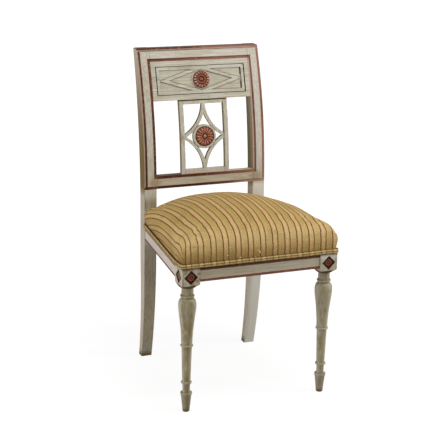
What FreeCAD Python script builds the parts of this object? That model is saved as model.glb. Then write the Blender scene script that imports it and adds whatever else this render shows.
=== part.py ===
import FreeCAD, Part
import math
import os

# A painted side chair: a raked back frame with a carved tablet and an openwork splat,
# turned front legs under square blocks, sabre back legs and a stuffed, striped seat.
# Lengths are in millimetres. X runs across, Y runs from the front to the back, Z is up.
# Left and right are as seen from the front. While the pieces are made, Y is measured from
# the front faces of the leg blocks; they are moved to the middle of the depth at the end.

# Overall
front_width = 460.0
back_width = 381.0
frame_depth = 411.0
overall_height = 930.5

# Fits
joint_clearance = 0.15
soft_clearance = 0.3
overrun = 5.0
eased_edge = 1.0

# Front legs
block_side = 52.0
block_bottom = 364.0
frame_top = 440.0
shoulder_drop = 3.5
shoulder_rise = 4.0
shoulder_flat_radius = 23.0
neck_radius = 16.3
bead_radius = 19.6
bead_height = 334.0
bead_half = 3.4
groove_radius = 17.2
groove_height = 327.0
bulb_radius = 24.7
waist_radius = 15.2
upper_ring_height = 192.0
ring_half = 3.2
ring_proud = 2.6
lower_ring_height = 85.5
lower_ring_radius = 15.2
shaft_top_radius = 14.2
shaft_bottom_radius = 11.6
ankle_radius = 10.6
collar_top = 56.0
collar_radius = 16.0
collar_thick = 6.0
toe_top_radius = 14.6
toe_radius = 9.6
toe_bevel = 1.5
# the baluster between the groove and the upper ring: share of its height, share of its swell
baluster_shares = ((0.96, 0.72), (0.865, 1.0), (0.72, 0.88), (0.53, 0.53), (0.29, 0.19), (0.0, 0.0))

# Carved diamonds on the blocks
diamond_height = 391.0
diamond_half = 19.6
diamond_depth = 3.2
patera_gap = 0.2
patera_plate = 1.0
patera_rise = 1.5
patera_border = 3.5
patera_taper = 3.5
patera_button_radius = 5.0
patera_button_rise = 1.0
patera_vein = 0.6

# Seat rails
rail_bottom = 376.0
rail_thick = 24.0
rail_setback = 2.0
rail_rabbet_depth = 2.0
rail_rabbet_height = 5.5
rebate_bottom = 416.0
rebate_depth = 4.0
tenon_thick = 10.0
tenon_long = 20.0
tenon_shoulder = 8.0
back_rail_setback = 3.0

# Back uprights
upright_width = 37.0
foot_width = 31.5
foot_inset = 4.8
foot_taper_top = 280.0
rake = 79.0
rake_start = 510.0
sabre_sweep = 36.5
sabre_start = 316.4
depth_at_top = 26.8
depth_at_seat = 37.4
depth_at_foot = 23.7
calf_hollow = 3.0
calf_height = 250.0
top_corner_round = 2.5

# Back frame
frame_under_crown = 6.9
frame_rail_height = 37.5
frame_rail_thick = 22.0
band_rabbet = 8.5
band_proud = 3.2
back_tenon_long = 18.0
back_tenon_thick = 9.0
back_tenon_shoulder = 6.0

# Tablet: its height is a share of the opening in the back frame, and its border, strips
# and rosette are shares of its height
tablet_share = 0.3394
tablet_border_share = 0.1315
fillet_gap_share = 0.0218
fillet_width_share = 0.0725
upper_rosette_share = 0.2357
tablet_thick = 20.0
tablet_sink = 4.0
tablet_tongue = 6.0
tongue_thick = 8.0
fillet_rise = 3.0
rosette_base_rise = 2.4
rosette_base_gap = 0.06

# Rosettes
upper_rosette_rise = 6.5
lower_rosette_rise = 6.0
petal_count = 16
petal_crest_share = 0.62
petal_vein_inner = 0.7
petal_vein_outer = 2.4
petal_vein_depth = 1.8
petal_vein_foot = 0.5
button_radius = 5.5
button_moat = 2.4
moat_depth = 3.0
rosette_rim = 1.6

# Splat
splat_half_width = 75.6
splat_bar_width = 13.2
splat_setback = 1.0
splat_thick = 11.0
splat_tenon_long = 6.0
splat_tenon_thick = 5.0
splat_tenon_side = 2.5
curve_width = 9.8
curve_setback = 2.0
curve_thick = 9.0
curve_bite = 0.4
medallion_share = 0.16535
medallion_rim_share = 0.1972
medallion_rosette_gap = 0.5
medallion_sink = 3.0
medallion_thick = 12.0
medallion_proud = 0.0

# Corner blocks and their screws
corner_block_reach = 58.0
corner_block_thick = 24.0
corner_block_top = 424.0
screw_shank_radius = 2.0
screw_head_radius = 4.0
screw_head_thick = 2.4
screw_long = 34.0
screw_grip = 17.0
screw_clearance = 0.1
screw_slot_width = 1.2
screw_slot_depth = 1.1

# Webbing, tacks and hessian
web_width = 50.0
web_thick = 1.4
web_layer_gap = 0.2
web_gap = 20.0
web_end_inset = 7.0
lengthwise_count = 4
crosswise_count = 5
crosswise_first = 70.0
crosswise_last_inset = 61.0
tack_head_radius = 4.0
tack_head_thick = 1.0
tack_pin_radius = 1.0
tack_pin_long = 10.0
tack_spread = 30.0
hessian_thick = 1.0
hessian_inset = 2.0

# Stuffed pad and cover
pad_lift = 4.6
crown_height = 537.4
crown_place = 200.0
crown_fall_back = 33.0
cross_fall = 29.5
cross_fall_lift = 38.0
cross_fall_reach = 140.0
front_roll = 40.0
front_roll_drop = 42.0
back_roll = 28.0
back_roll_drop = 30.0
shoulder_roll = 38.0
shoulder_height = 38.0
shoulder_height_fall = 14.0
end_flatten_share = 0.6
corner_round = 6.0
side_bulge = 4.4
side_bulge_share = 0.72
side_bulge_start = 433.0
cover_thick = 1.2
cover_bottom = 418.5
# where the sections stand along the front roll, the open seat between and the back roll
front_roll_shares = (0.0, 0.04, 0.14, 0.32, 0.6, 1.0)
open_run_shares = (0.12, 0.28, 0.46, 0.64, 0.82)
back_roll_shares = (1.0, 0.6, 0.32, 0.12, 0.0)

# Double welt
cord_radius = 3.25
cord_pitch = 6.2
cord_lift = 4.4
welt_corner_radius = 6.0

# Values worked out from the ones above
block_half = block_side / 2
leg_x = front_width / 2 - block_half
inner_half = back_width / 2 - upright_width
rear_face = frame_depth + depth_at_seat
frame_bottom = crown_height - frame_under_crown
frame_inner_bottom = frame_bottom + frame_rail_height
frame_inner_top = overall_height - frame_rail_height
tablet_height = (frame_inner_top - frame_inner_bottom) * tablet_share
tablet_bottom = frame_inner_top - tablet_height
tablet_border = tablet_height * tablet_border_share
fillet_gap = tablet_height * fillet_gap_share
fillet_width = tablet_height * fillet_width_share
upper_rosette_radius = tablet_height * upper_rosette_share
medallion_radius = (tablet_bottom - frame_inner_bottom) * medallion_share
medallion_rim = medallion_radius * medallion_rim_share
lower_rosette_radius = medallion_radius - medallion_rim - medallion_rosette_gap
curve_closest = medallion_radius + curve_width / 2 - curve_bite
foot_outer = back_width / 2 - foot_inset
back_rail_front = frame_depth + back_rail_setback
back_rail_rear = back_rail_front + rail_thick
side_run = frame_depth - block_side
side_taper = (front_width - back_width) / 2 / side_run


def vec(x, y, z):
    return FreeCAD.Vector(x, y, z)


def box(x_low, x_high, y_low, y_high, z_low, z_high):
    corner = vec(x_low, y_low, z_low)
    return Part.makeBox(x_high - x_low, y_high - y_low, z_high - z_low, corner)


def closed_face(points):
    return Part.Face(Part.makePolygon(points + [points[0]]))


def plan_prism(outline, z_low, z_high):
    # an outline of (x, y) pairs, carried straight up
    points = [vec(x, y, z_low) for x, y in outline]
    return closed_face(points).extrude(vec(0, 0, z_high - z_low))


def front_prism(outline, y_low, y_high):
    # an outline of (x, z) pairs seen from the front, carried back
    points = [vec(x, y_low, z) for x, z in outline]
    return closed_face(points).extrude(vec(0, y_high - y_low, 0))


def mirrored(shape):
    return shape.mirror(vec(0, 0, 0), vec(1, 0, 0))


def arc_from_upright(y_start, z_start, y_end, z_end):
    # an arc in a side view that starts exactly upright and ends at the given point
    rise = z_end - z_start
    sweep = y_end - y_start
    radius = (rise * rise + sweep * sweep) / (2 * sweep)
    half_turn = math.asin(abs(rise) / abs(radius)) / 2
    y_mid = y_start + radius * (1 - math.cos(half_turn))
    z_mid = z_start + math.copysign(abs(radius) * math.sin(half_turn), rise)
    return Part.Arc(vec(0, y_start, z_start), vec(0, y_mid, z_mid), vec(0, y_end, z_end)).toShape()


def line(start, end):
    return Part.LineSegment(start, end).toShape()


def path(start, steps):
    # edges from a start through steps: one point is a line, two an arc, more a smooth curve
    edges = []
    for step in steps:
        points = [start] + list(step)
        if len(step) == 1:
            edges.append(line(*points))
        elif len(step) == 2:
            edges.append(Part.Arc(*points).toShape())
        else:
            curve = Part.BSplineCurve()
            curve.interpolate(points)
            edges.append(curve.toShape())
        start = points[-1]
    return edges


def half_section(steps):
    # a closed half section for turning, from steps of (radius, height) pairs that end on the axis
    placed = [[vec(radius, 0, height) for radius, height in step] for step in steps]
    start = placed[0][0]
    edges = path(start, placed[1:])
    edges.append(line(placed[-1][-1], start))
    return Part.Face(Part.Wire(edges))


def raked_place(height):
    # how far back the front surface of the back frame lies at a height
    rise = overall_height - rake_start
    radius = (rise * rise + rake * rake) / (2 * rake)
    up = height - rake_start
    return frame_depth + radius - math.sqrt(radius * radius - up * up)


def rake_angle(height):
    rise = overall_height - rake_start
    radius = (rise * rise + rake * rake) / (2 * rake)
    return math.asin((height - rake_start) / radius)


def raked_slab(front_offset, back_offset):
    # a curved board as wide as the back, between two offsets from the back frame's surface
    top_y = frame_depth + rake
    front = arc_from_upright(frame_depth + front_offset, rake_start, top_y + front_offset, overall_height)
    back = arc_from_upright(frame_depth + back_offset, rake_start, top_y + back_offset, overall_height)
    top = line(vec(0, top_y + front_offset, overall_height), vec(0, top_y + back_offset, overall_height))
    foot = line(vec(0, frame_depth + back_offset, rake_start),
                vec(0, frame_depth + front_offset, rake_start))
    profile = Part.Face(Part.Wire([front, top, back, foot]))
    profile.translate(vec(-back_width / 2, 0, 0))
    return profile.extrude(vec(back_width, 0, 0))


def raked_piece(outline, front_offset, back_offset):
    # a piece of the curved back, cut to an outline seen from the front
    reach = rake + depth_at_seat
    cutter = front_prism(outline, frame_depth - reach, frame_depth + 2 * reach)
    return raked_slab(front_offset, back_offset).common(cutter)


def rectangle(x_low, x_high, z_low, z_high):
    return [(x_low, z_low), (x_high, z_low), (x_high, z_high), (x_low, z_high)]


def raised_band():
    # the flat band that stands proud all round the back frame, between its two rabbets
    outer = rectangle(-back_width / 2 + band_rabbet, back_width / 2 - band_rabbet,
                      frame_bottom + band_rabbet, overall_height - band_rabbet)
    inner = rectangle(-inner_half - band_rabbet, inner_half + band_rabbet,
                      frame_inner_bottom - band_rabbet, frame_inner_top + band_rabbet)
    opening = raked_piece(inner, -2 * band_proud, 2 * eased_edge)
    return raked_piece(outer, -band_proud, eased_edge).cut(opening)


def side_line(height_share):
    # inner and outer x of an upright between the floor (0) and the top of its taper (1)
    outer = foot_outer + (back_width / 2 - foot_outer) * height_share
    inner = (foot_outer - foot_width) + (inner_half - foot_outer + foot_width) * height_share
    return inner, outer


def upright_blank():
    front_foot = frame_depth + sabre_sweep
    back_foot = front_foot + depth_at_foot
    back_top = frame_depth + rake + depth_at_top
    calf_y = rear_face - calf_hollow
    edges = [
        arc_from_upright(frame_depth, sabre_start, front_foot, 0),
        line(vec(0, front_foot, 0), vec(0, back_foot, 0)),
        arc_from_upright(calf_y, calf_height, back_foot, 0),
        line(vec(0, calf_y, calf_height), vec(0, rear_face, rail_bottom)),
        line(vec(0, rear_face, rail_bottom), vec(0, rear_face, frame_top)),
        arc_from_upright(rear_face, frame_top, back_top, overall_height),
        line(vec(0, back_top, overall_height), vec(0, frame_depth + rake, overall_height)),
        arc_from_upright(frame_depth, rake_start, frame_depth + rake, overall_height),
        line(vec(0, frame_depth, rake_start), vec(0, frame_depth, sabre_start)),
    ]
    side_view = Part.Face(Part.Wire(edges))
    board = side_view.extrude(vec(back_width, 0, 0))
    inner_foot, outer_foot = side_line(0)
    inner_top, outer_top = side_line(1)
    outline = [
        (inner_foot, 0), (outer_foot, 0), (outer_top, foot_taper_top),
        (outer_top, overall_height - top_corner_round), (outer_top - top_corner_round, overall_height),
        (inner_top, overall_height), (inner_top, foot_taper_top),
    ]
    return board.common(front_prism(outline, frame_depth - rake, rear_face + 2 * rake))


def back_tenon(z_low, z_high, thick, clearance):
    # a through-width tenon bar of a rail in the back, as long as the rail with both its tenons
    reach = inner_half + back_tenon_long + clearance
    front = (frame_rail_thick - thick) / 2
    outline = rectangle(-reach, reach, z_low - clearance, z_high + clearance)
    return raked_piece(outline, front - clearance, front + thick + clearance)


def frame_rail_tenon(which, clearance):
    if which == "top":
        z_low = frame_inner_top + back_tenon_shoulder
        z_high = overall_height - back_tenon_shoulder
    else:
        z_low = frame_bottom + back_tenon_shoulder
        z_high = frame_inner_bottom - back_tenon_shoulder
    return back_tenon(z_low, z_high, back_tenon_thick, clearance)


def tablet_tenon(clearance):
    z_low = tablet_bottom + 2 * back_tenon_shoulder
    z_high = frame_inner_top - 2 * back_tenon_shoulder
    return back_tenon(z_low, z_high, tongue_thick, clearance)


def side_x(y, inset):
    # x of a line along a side seat rail, inset from the line of the blocks' outer faces
    return front_width / 2 - inset - side_taper * (y - block_side)


def side_strip(inset_outer, inset_inner, y_low, y_high, z_low, z_high):
    outline = [(side_x(y_low, inset_outer), y_low), (side_x(y_high, inset_outer), y_high),
               (side_x(y_high, inset_inner), y_high), (side_x(y_low, inset_inner), y_low)]
    return plan_prism(outline, z_low, z_high)


def side_tenons(clearance):
    inset = rail_setback + (rail_thick - tenon_thick) / 2
    return side_strip(inset - clearance, inset + tenon_thick + clearance,
                      block_side - tenon_long - clearance, frame_depth + tenon_long + clearance,
                      rail_bottom + tenon_shoulder - clearance, rebate_bottom + tenon_shoulder + clearance)


def front_tenons(clearance):
    reach = leg_x - block_half + tenon_long + clearance
    front = rail_setback + (rail_thick - tenon_thick) / 2
    return box(-reach, reach, front - clearance, front + tenon_thick + clearance,
               rail_bottom + tenon_shoulder - clearance, rebate_bottom + tenon_shoulder + clearance)


def back_rail_tenons(clearance):
    reach = inner_half + tenon_long / 2 + clearance
    front = back_rail_front + (rail_thick - tenon_thick) / 2
    return box(-reach, reach, front - clearance, front + tenon_thick + clearance,
               rail_bottom + tenon_shoulder - clearance, rebate_bottom + tenon_shoulder + clearance)


def back_upright():
    blank = upright_blank()
    reach = rake + depth_at_seat
    own_half = front_prism(rectangle(inner_half, back_width / 2, frame_bottom, overall_height),
                           frame_depth - reach, frame_depth + 2 * reach)
    corner_cut = front_prism([(back_width / 2 - top_corner_round, overall_height),
                              (back_width / 2, overall_height),
                              (back_width / 2, overall_height - top_corner_round)],
                             frame_depth - reach, frame_depth + 2 * reach)
    shape = blank.fuse(raised_band().common(own_half)).cut(corner_cut)
    for socket in (frame_rail_tenon("top", joint_clearance), frame_rail_tenon("lower", joint_clearance),
                   tablet_tenon(joint_clearance), side_tenons(joint_clearance),
                   back_rail_tenons(joint_clearance)):
        shape = shape.cut(socket)
    return shape.removeSplitter()


def back_frame_rail(which):
    if which == "top":
        z_low, z_high = frame_inner_top, overall_height
    else:
        z_low, z_high = frame_bottom, frame_inner_bottom
    span = rectangle(-inner_half, inner_half, z_low, z_high)
    reach = rake + depth_at_seat
    own_part = front_prism(span, frame_depth - reach, frame_depth + 2 * reach)
    shape = raked_piece(span, 0, frame_rail_thick)
    shape = shape.fuse(raised_band().common(own_part)).fuse(frame_rail_tenon(which, 0))
    if which == "top":
        shape = shape.cut(tablet_tongue_piece(joint_clearance))
    else:
        for side in (-1, 1):
            shape = shape.cut(splat_tenon(side, "lower", joint_clearance))
    return shape.removeSplitter()


def tablet_tongue_piece(clearance):
    # the tongue along the tablet's top edge, which the top rail's groove takes
    reach = inner_half - splat_tenon_long + clearance
    front = (tablet_thick - tongue_thick) / 2
    outline = rectangle(-reach, reach, frame_inner_top - overrun,
                        frame_inner_top + tablet_tongue + clearance)
    return raked_piece(outline, front - clearance, front + tongue_thick + clearance)


def field_rectangle(inset):
    margin = tablet_border + inset
    half = inner_half - margin
    return rectangle(-half, half, tablet_bottom + margin, frame_inner_top - margin)


def tablet_panel():
    shape = raked_piece(rectangle(-inner_half, inner_half, tablet_bottom, frame_inner_top), 0, tablet_thick)
    shape = shape.fuse(tablet_tongue_piece(0)).fuse(tablet_tenon(0))
    shape = shape.cut(raked_piece(field_rectangle(0), -overrun, tablet_sink))
    for side in (-1, 1):
        shape = shape.cut(splat_tenon(side, "upper", joint_clearance))
    return shape.removeSplitter()


def fillet_strips():
    # the four mitred strips that lie round the sunk field, by the name of their side
    outer = field_rectangle(fillet_gap)
    inner = field_rectangle(fillet_gap + fillet_width)
    names = ("bottom", "right", "top", "left")
    strips = {}
    for number, name in enumerate(names):
        following = (number + 1) % len(names)
        outline = [outer[number], outer[following], inner[following], inner[number]]
        strips[name] = raked_piece(outline, tablet_sink - fillet_rise, tablet_sink)
    return strips


def lozenge_halves():
    # the lozenge's half width and half height, and how far its sides lie from its centre
    half_wide = inner_half - tablet_border - fillet_gap - fillet_width
    half_high = tablet_height / 2 - tablet_border - fillet_gap
    return half_wide, half_high, half_wide * half_high / math.hypot(half_wide, half_high)


def lozenge_strips():
    # the four strips of the lozenge: mitred at its sides, cut off by the strips above and below
    half_wide, half_high, centre_to_side = lozenge_halves()
    middle = tablet_centre()
    inner_share = (centre_to_side - fillet_width) / centre_to_side
    clear_field = raked_piece(field_rectangle(fillet_gap + fillet_width), -overrun, tablet_sink)
    strips = {}
    for across, sideways in ((-1, "left"), (1, "right")):
        for upward, level in ((-1, "lower"), (1, "upper")):
            outline = [(across * half_wide, middle), (0, middle + upward * half_high),
                       (0, middle + upward * half_high * inner_share),
                       (across * half_wide * inner_share, middle)]
            strip = raked_piece(outline, tablet_sink - fillet_rise, tablet_sink)
            strips[level + "_" + sideways] = strip.common(clear_field)
    return strips


def turned_disc(profile):
    # a disc turned from (radius, rise) pairs, standing on its back with its axis up
    points = [vec(radius, 0, rise) for radius, rise in profile]
    return closed_face(points).revolve(vec(0, 0, 0), vec(0, 0, 1), 360)


def seated_on_back(shape, height, sink, proud):
    # turns an upright axis to face forward at the rake of a height, proud of a face that is
    # sunk below the frame's surface
    lean = rake_angle(height)
    placed = shape.copy()
    placed.rotate(vec(0, 0, 0), vec(1, 0, 0), 90 - math.degrees(lean))
    surface = raked_place(height) + sink
    place = vec(0, surface - proud * math.cos(lean), height + proud * math.sin(lean))
    placed.translate(place)
    return placed


def rosette(radius, rise):
    # a round of petals parted by V-shaped veins that open outwards, a moat round its button
    moat_edge = button_radius + button_moat
    crest_radius = moat_edge + (radius - moat_edge) * petal_crest_share
    ease = math.sqrt(1 / 2)
    dome_radius = (button_radius ** 2 + moat_depth ** 2) / (2 * moat_depth)
    half_angle = math.asin(button_radius / dome_radius) / 2
    dome_mid = (dome_radius * math.sin(half_angle), rise - dome_radius * (1 - math.cos(half_angle)))
    outer_mid = (crest_radius + (radius - crest_radius) * ease, rosette_rim + (rise - rosette_rim) * ease)
    section = half_section([
        [(0, 0)],
        [(radius, 0)],
        [(radius, rosette_rim)],
        [outer_mid, (crest_radius, rise)],
        [(moat_edge, rise - moat_depth / 2)],
        [(button_radius, rise - moat_depth)],
        [dome_mid, (0, rise)],
    ])
    shape = section.revolve(vec(0, 0, 0), vec(0, 0, 1), 360)
    for number in range(petal_count):
        vein = petal_vein(button_radius + button_moat / 2, radius, rise)
        vein.rotate(vec(0, 0, 0), vec(0, 0, 1), 360 * (number + 1 / 2) / petal_count)
        shape = shape.cut(vein)
    return shape


def petal_vein(inner, outer, rise):
    # a wedge that widens and deepens from the moat to past the rim
    brim = rise + eased_edge
    near = Part.makePolygon([vec(inner, -petal_vein_inner, brim), vec(inner, petal_vein_inner, brim),
                             vec(inner, 0, rise - petal_vein_depth), vec(inner, -petal_vein_inner, brim)])
    past = outer + eased_edge
    far = Part.makePolygon([vec(past, -petal_vein_outer, brim), vec(past, petal_vein_outer, brim),
                            vec(past, 0, petal_vein_foot), vec(past, -petal_vein_outer, brim)])
    return Part.makeLoft([near, far], True, True)


def tablet_centre():
    return (tablet_bottom + frame_inner_top) / 2


def upper_rosette_base():
    # a plain disc that just fits between the sides of the lozenge
    reach = lozenge_halves()[2] - fillet_width - rosette_base_gap
    shape = turned_disc([(0, 0), (reach, 0), (reach, rosette_base_rise - eased_edge),
                         (reach - eased_edge, rosette_base_rise), (0, rosette_base_rise)])
    return seated_on_back(shape, tablet_centre(), tablet_sink, joint_clearance)


def upper_rosette():
    shape = rosette(upper_rosette_radius, upper_rosette_rise)
    return seated_on_back(shape, tablet_centre(), tablet_sink, joint_clearance + rosette_base_rise)


def splat_tenon(side, end, clearance):
    x_low = splat_half_width - splat_bar_width + splat_tenon_side
    x_high = splat_half_width - splat_tenon_side
    front = splat_setback + (splat_thick - splat_tenon_thick) / 2
    if end == "upper":
        z_low, z_high = tablet_bottom - overrun, tablet_bottom + splat_tenon_long + clearance
    else:
        z_low, z_high = frame_inner_bottom - splat_tenon_long - clearance, frame_inner_bottom + overrun
    ends = sorted((side * (x_low - clearance), side * (x_high + clearance)))
    return raked_piece(rectangle(ends[0], ends[1], z_low, z_high),
                       front - clearance, front + splat_tenon_thick + clearance)


def splat_side_bar(side):
    ends = sorted((side * (splat_half_width - splat_bar_width), side * splat_half_width))
    shape = raked_piece(rectangle(ends[0], ends[1], frame_inner_bottom, tablet_bottom),
                        splat_setback, splat_setback + splat_thick)
    for end in ("upper", "lower"):
        shape = shape.fuse(splat_tenon(side, end, 0))
    return shape.removeSplitter()


def splat_cross_bar(level):
    half = splat_half_width - splat_bar_width
    if level == "top":
        z_low, z_high = tablet_bottom - splat_bar_width, tablet_bottom
    else:
        z_low, z_high = frame_inner_bottom, frame_inner_bottom + splat_bar_width
    return raked_piece(rectangle(-half, half, z_low, z_high), splat_setback, splat_setback + splat_thick)


def splat_centre():
    return (tablet_bottom + frame_inner_bottom) / 2


def medallion_place(shape, rise):
    return seated_on_back(shape, splat_centre(), 0, rise)


def medallion_back_offset():
    return medallion_proud - medallion_thick


def medallion():
    rim_inner = medallion_radius - medallion_rim
    sunk = medallion_thick - medallion_sink
    shape = turned_disc([(0, 0), (medallion_radius, 0), (medallion_radius, medallion_thick - eased_edge),
                         (medallion_radius - eased_edge, medallion_thick),
                         (rim_inner + eased_edge, medallion_thick), (rim_inner, sunk), (0, sunk)])
    return medallion_place(shape, medallion_back_offset())


def medallion_rosette():
    shape = rosette(lower_rosette_radius, lower_rosette_rise)
    return medallion_place(shape, medallion_proud - medallion_sink)


def splat_curve(across, upward):
    # one concave bar from the middle of a side to the middle of the top or bottom,
    # bent towards the medallion, mitred where it meets its neighbours
    half_wide = splat_half_width - splat_bar_width
    half_high = (tablet_bottom - frame_inner_bottom) / 2 - splat_bar_width
    middle = splat_centre()
    nearest = curve_closest * math.sqrt(1 / 2)
    ends = ((0, half_high + curve_width / 2), (nearest, nearest), (half_wide + curve_width / 2, 0))
    chord = [vec(across * x, 0, middle + upward * z) for x, z in ends]
    centre_line = Part.Arc(chord[0], chord[1], chord[2])
    curve = centre_line.toShape().Curve
    start = curve.Center + vec(0, frame_depth - rake, 0)
    outer = Part.makeCylinder(curve.Radius + curve_width / 2, 2 * rear_face, start, vec(0, 1, 0))
    inner = Part.makeCylinder(curve.Radius - curve_width / 2, 2 * rear_face, start, vec(0, 1, 0))
    quarter_x = sorted((0, across * half_wide))
    quarter_z = sorted((middle, middle + upward * half_high))
    quarter = raked_piece(rectangle(quarter_x[0], quarter_x[1], quarter_z[0], quarter_z[1]),
                          curve_setback, curve_setback + curve_thick)
    shape = quarter.common(outer).cut(inner)
    seat = Part.makeCylinder(medallion_radius, 2 * medallion_thick, vec(0, 0, -medallion_thick / 2))
    return shape.cut(medallion_place(seat, medallion_back_offset()))


def leg_profile():
    # the turned part of a front leg, from its axis at the top out to the block and down to the floor
    baluster_foot = upper_ring_height + ring_half
    swell = bulb_radius - waist_radius
    tall = groove_height - baluster_foot
    baluster = [(waist_radius + swell * swell_share, baluster_foot + tall * height_share)
                for height_share, swell_share in baluster_shares]
    block_corner = block_half * math.sqrt(2) + shoulder_drop
    shoulder_top = block_bottom + shoulder_rise + shoulder_drop
    shoulder_foot = block_bottom - shoulder_drop
    return half_section([
        [(0, shoulder_top)],
        [(block_corner, shoulder_top)],
        [(block_half, block_bottom)],
        [(shoulder_flat_radius, shoulder_foot)],
        [(neck_radius, shoulder_foot)],
        [(neck_radius, bead_height + bead_half)],
        [(bead_radius, bead_height), (groove_radius, bead_height - bead_half)],
        [(groove_radius, groove_height)],
        baluster,
        [(waist_radius + ring_proud, upper_ring_height), (shaft_top_radius, upper_ring_height - ring_half)],
        [(shaft_bottom_radius, lower_ring_height + ring_half)],
        [(lower_ring_radius, lower_ring_height), (ankle_radius, lower_ring_height - ring_half)],
        [(ankle_radius, collar_top)],
        [(collar_radius, collar_top)],
        [(collar_radius, collar_top - collar_thick)],
        [(toe_top_radius, collar_top - collar_thick - eased_edge)],
        [(toe_radius, toe_bevel)],
        [(toe_radius - toe_bevel, 0)],
        [(0, 0)],
    ])


def rhombus(centre_across, half):
    return [(centre_across - half, diamond_height), (centre_across, diamond_height - half),
            (centre_across + half, diamond_height), (centre_across, diamond_height + half)]


def front_recess(half):
    return front_prism(rhombus(leg_x, half), -overrun, diamond_depth)


def to_outer_face(shape):
    # moves a piece of the right block's front face round to its outer face
    turned = shape.copy()
    turned.rotate(vec(leg_x, block_half, 0), vec(0, 0, 1), 90)
    return turned


def front_leg():
    turned = leg_profile().revolve(vec(0, 0, 0), vec(0, 0, 1), 360)
    turned.translate(vec(leg_x, block_half, 0))
    shoulder_top = block_bottom + shoulder_rise + shoulder_drop
    square = box(leg_x - block_half, leg_x + block_half, 0, block_side, 0, shoulder_top)
    below = turned.common(square)
    block = box(leg_x - block_half, leg_x + block_half, 0, block_side, shoulder_top, rebate_bottom)
    upper = box(leg_x - block_half, leg_x + block_half - rebate_depth, rebate_depth, block_side,
                rebate_bottom, frame_top)
    shape = below.fuse(block).fuse(upper)
    recess = front_recess(diamond_half)
    for cut in (recess, to_outer_face(recess), front_tenons(joint_clearance), side_tenons(joint_clearance)):
        shape = shape.cut(cut)
    return shape.removeSplitter()


def diamond_patera():
    # a carved diamond: a thin plate, a raised field parted into four leaves, and a button
    plate_half = diamond_half - patera_gap
    plate_front = diamond_depth - patera_plate
    plate = front_prism(rhombus(leg_x, plate_half), plate_front, diamond_depth)
    field_half = plate_half - patera_border
    top_half = field_half - patera_taper
    field_front = plate_front - patera_rise
    low = Part.makePolygon([vec(x, plate_front, z) for x, z in rhombus(leg_x, field_half)]
                           + [vec(leg_x - field_half, plate_front, diamond_height)])
    high = Part.makePolygon([vec(x, field_front, z) for x, z in rhombus(leg_x, top_half)]
                            + [vec(leg_x - top_half, field_front, diamond_height)])
    shape = plate.fuse(Part.makeLoft([low, high], True, True))
    across = field_half + patera_gap
    vein_long = box(leg_x - across, leg_x + across, field_front - overrun, field_front + patera_rise / 2,
                    diamond_height - patera_vein, diamond_height + patera_vein)
    upright_vein = box(leg_x - patera_vein, leg_x + patera_vein, field_front - overrun,
                       field_front + patera_rise / 2, diamond_height - across, diamond_height + across)
    shape = shape.cut(vein_long).cut(upright_vein)
    button = Part.makeCone(patera_button_radius, patera_button_radius - patera_button_rise,
                           patera_rise + patera_button_rise / 2, vec(leg_x, plate_front, diamond_height),
                           vec(0, -1, 0))
    return shape.fuse(button)


def front_seat_rail():
    half = leg_x - block_half
    body = box(-half, half, rail_setback, rail_setback + rail_thick, rail_bottom, frame_top)
    for z_low, z_high in ((rail_bottom, rail_bottom + rail_rabbet_height),
                          (rebate_bottom - rail_rabbet_height, frame_top)):
        body = body.cut(box(-half, half, rail_setback, rail_setback + rail_rabbet_depth, z_low, z_high))
    return body.fuse(front_tenons(0)).removeSplitter()


def side_seat_rail():
    body = side_strip(rail_setback, rail_setback + rail_thick,
                      block_side, frame_depth, rail_bottom, frame_top)
    for z_low, z_high in ((rail_bottom, rail_bottom + rail_rabbet_height),
                          (rebate_bottom - rail_rabbet_height, frame_top)):
        body = body.cut(side_strip(rail_setback, rail_setback + rail_rabbet_depth,
                                   block_side, frame_depth, z_low, z_high))
    return body.fuse(side_tenons(0)).removeSplitter()


def back_seat_rail():
    body = box(-inner_half, inner_half, back_rail_front, back_rail_rear, rail_bottom, frame_top)
    return body.fuse(back_rail_tenons(0)).removeSplitter()


def screw(clearance):
    # a slotted countersunk screw along +X, its head's face at zero
    head_radius = screw_head_radius + clearance
    shank_radius = screw_shank_radius + clearance
    head = Part.makeCone(head_radius, shank_radius, screw_head_thick, vec(0, 0, 0), vec(1, 0, 0))
    shank = Part.makeCylinder(shank_radius, screw_long, vec(0, 0, 0), vec(1, 0, 0))
    shape = head.fuse(shank)
    if clearance:
        entry = Part.makeCylinder(head_radius, corner_block_reach,
                                  vec(-corner_block_reach, 0, 0), vec(1, 0, 0))
        return shape.fuse(entry)
    slot = box(0, screw_slot_depth, -head_radius, head_radius, -screw_slot_width / 2, screw_slot_width / 2)
    return shape.cut(slot)


def corner_screws(where, clearance):
    # two screws for one corner on the right side: one into the cross rail, one into the side rail
    middle_z = corner_block_top - corner_block_thick / 2
    grip = screw_grip
    if where == "front":
        cross_y = rail_setback + rail_thick + grip
        cross_x = leg_x - block_half - corner_block_reach / 2
        side_y = block_side + corner_block_reach / 2
        into_cross = -90
    else:
        cross_y = back_rail_front - grip
        cross_x = inner_half - corner_block_reach / 2
        side_y = frame_depth - corner_block_reach / 2
        into_cross = 90
    first = screw(clearance)
    first.rotate(vec(0, 0, 0), vec(0, 0, 1), into_cross)
    first.translate(vec(cross_x, cross_y, middle_z))
    second = screw(clearance)
    second.rotate(vec(0, 0, 0), vec(0, 0, 1), -math.degrees(math.atan(side_taper)))
    second.translate(vec(side_x(side_y, rail_setback + rail_thick + grip), side_y, middle_z))
    return [first, second]


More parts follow.
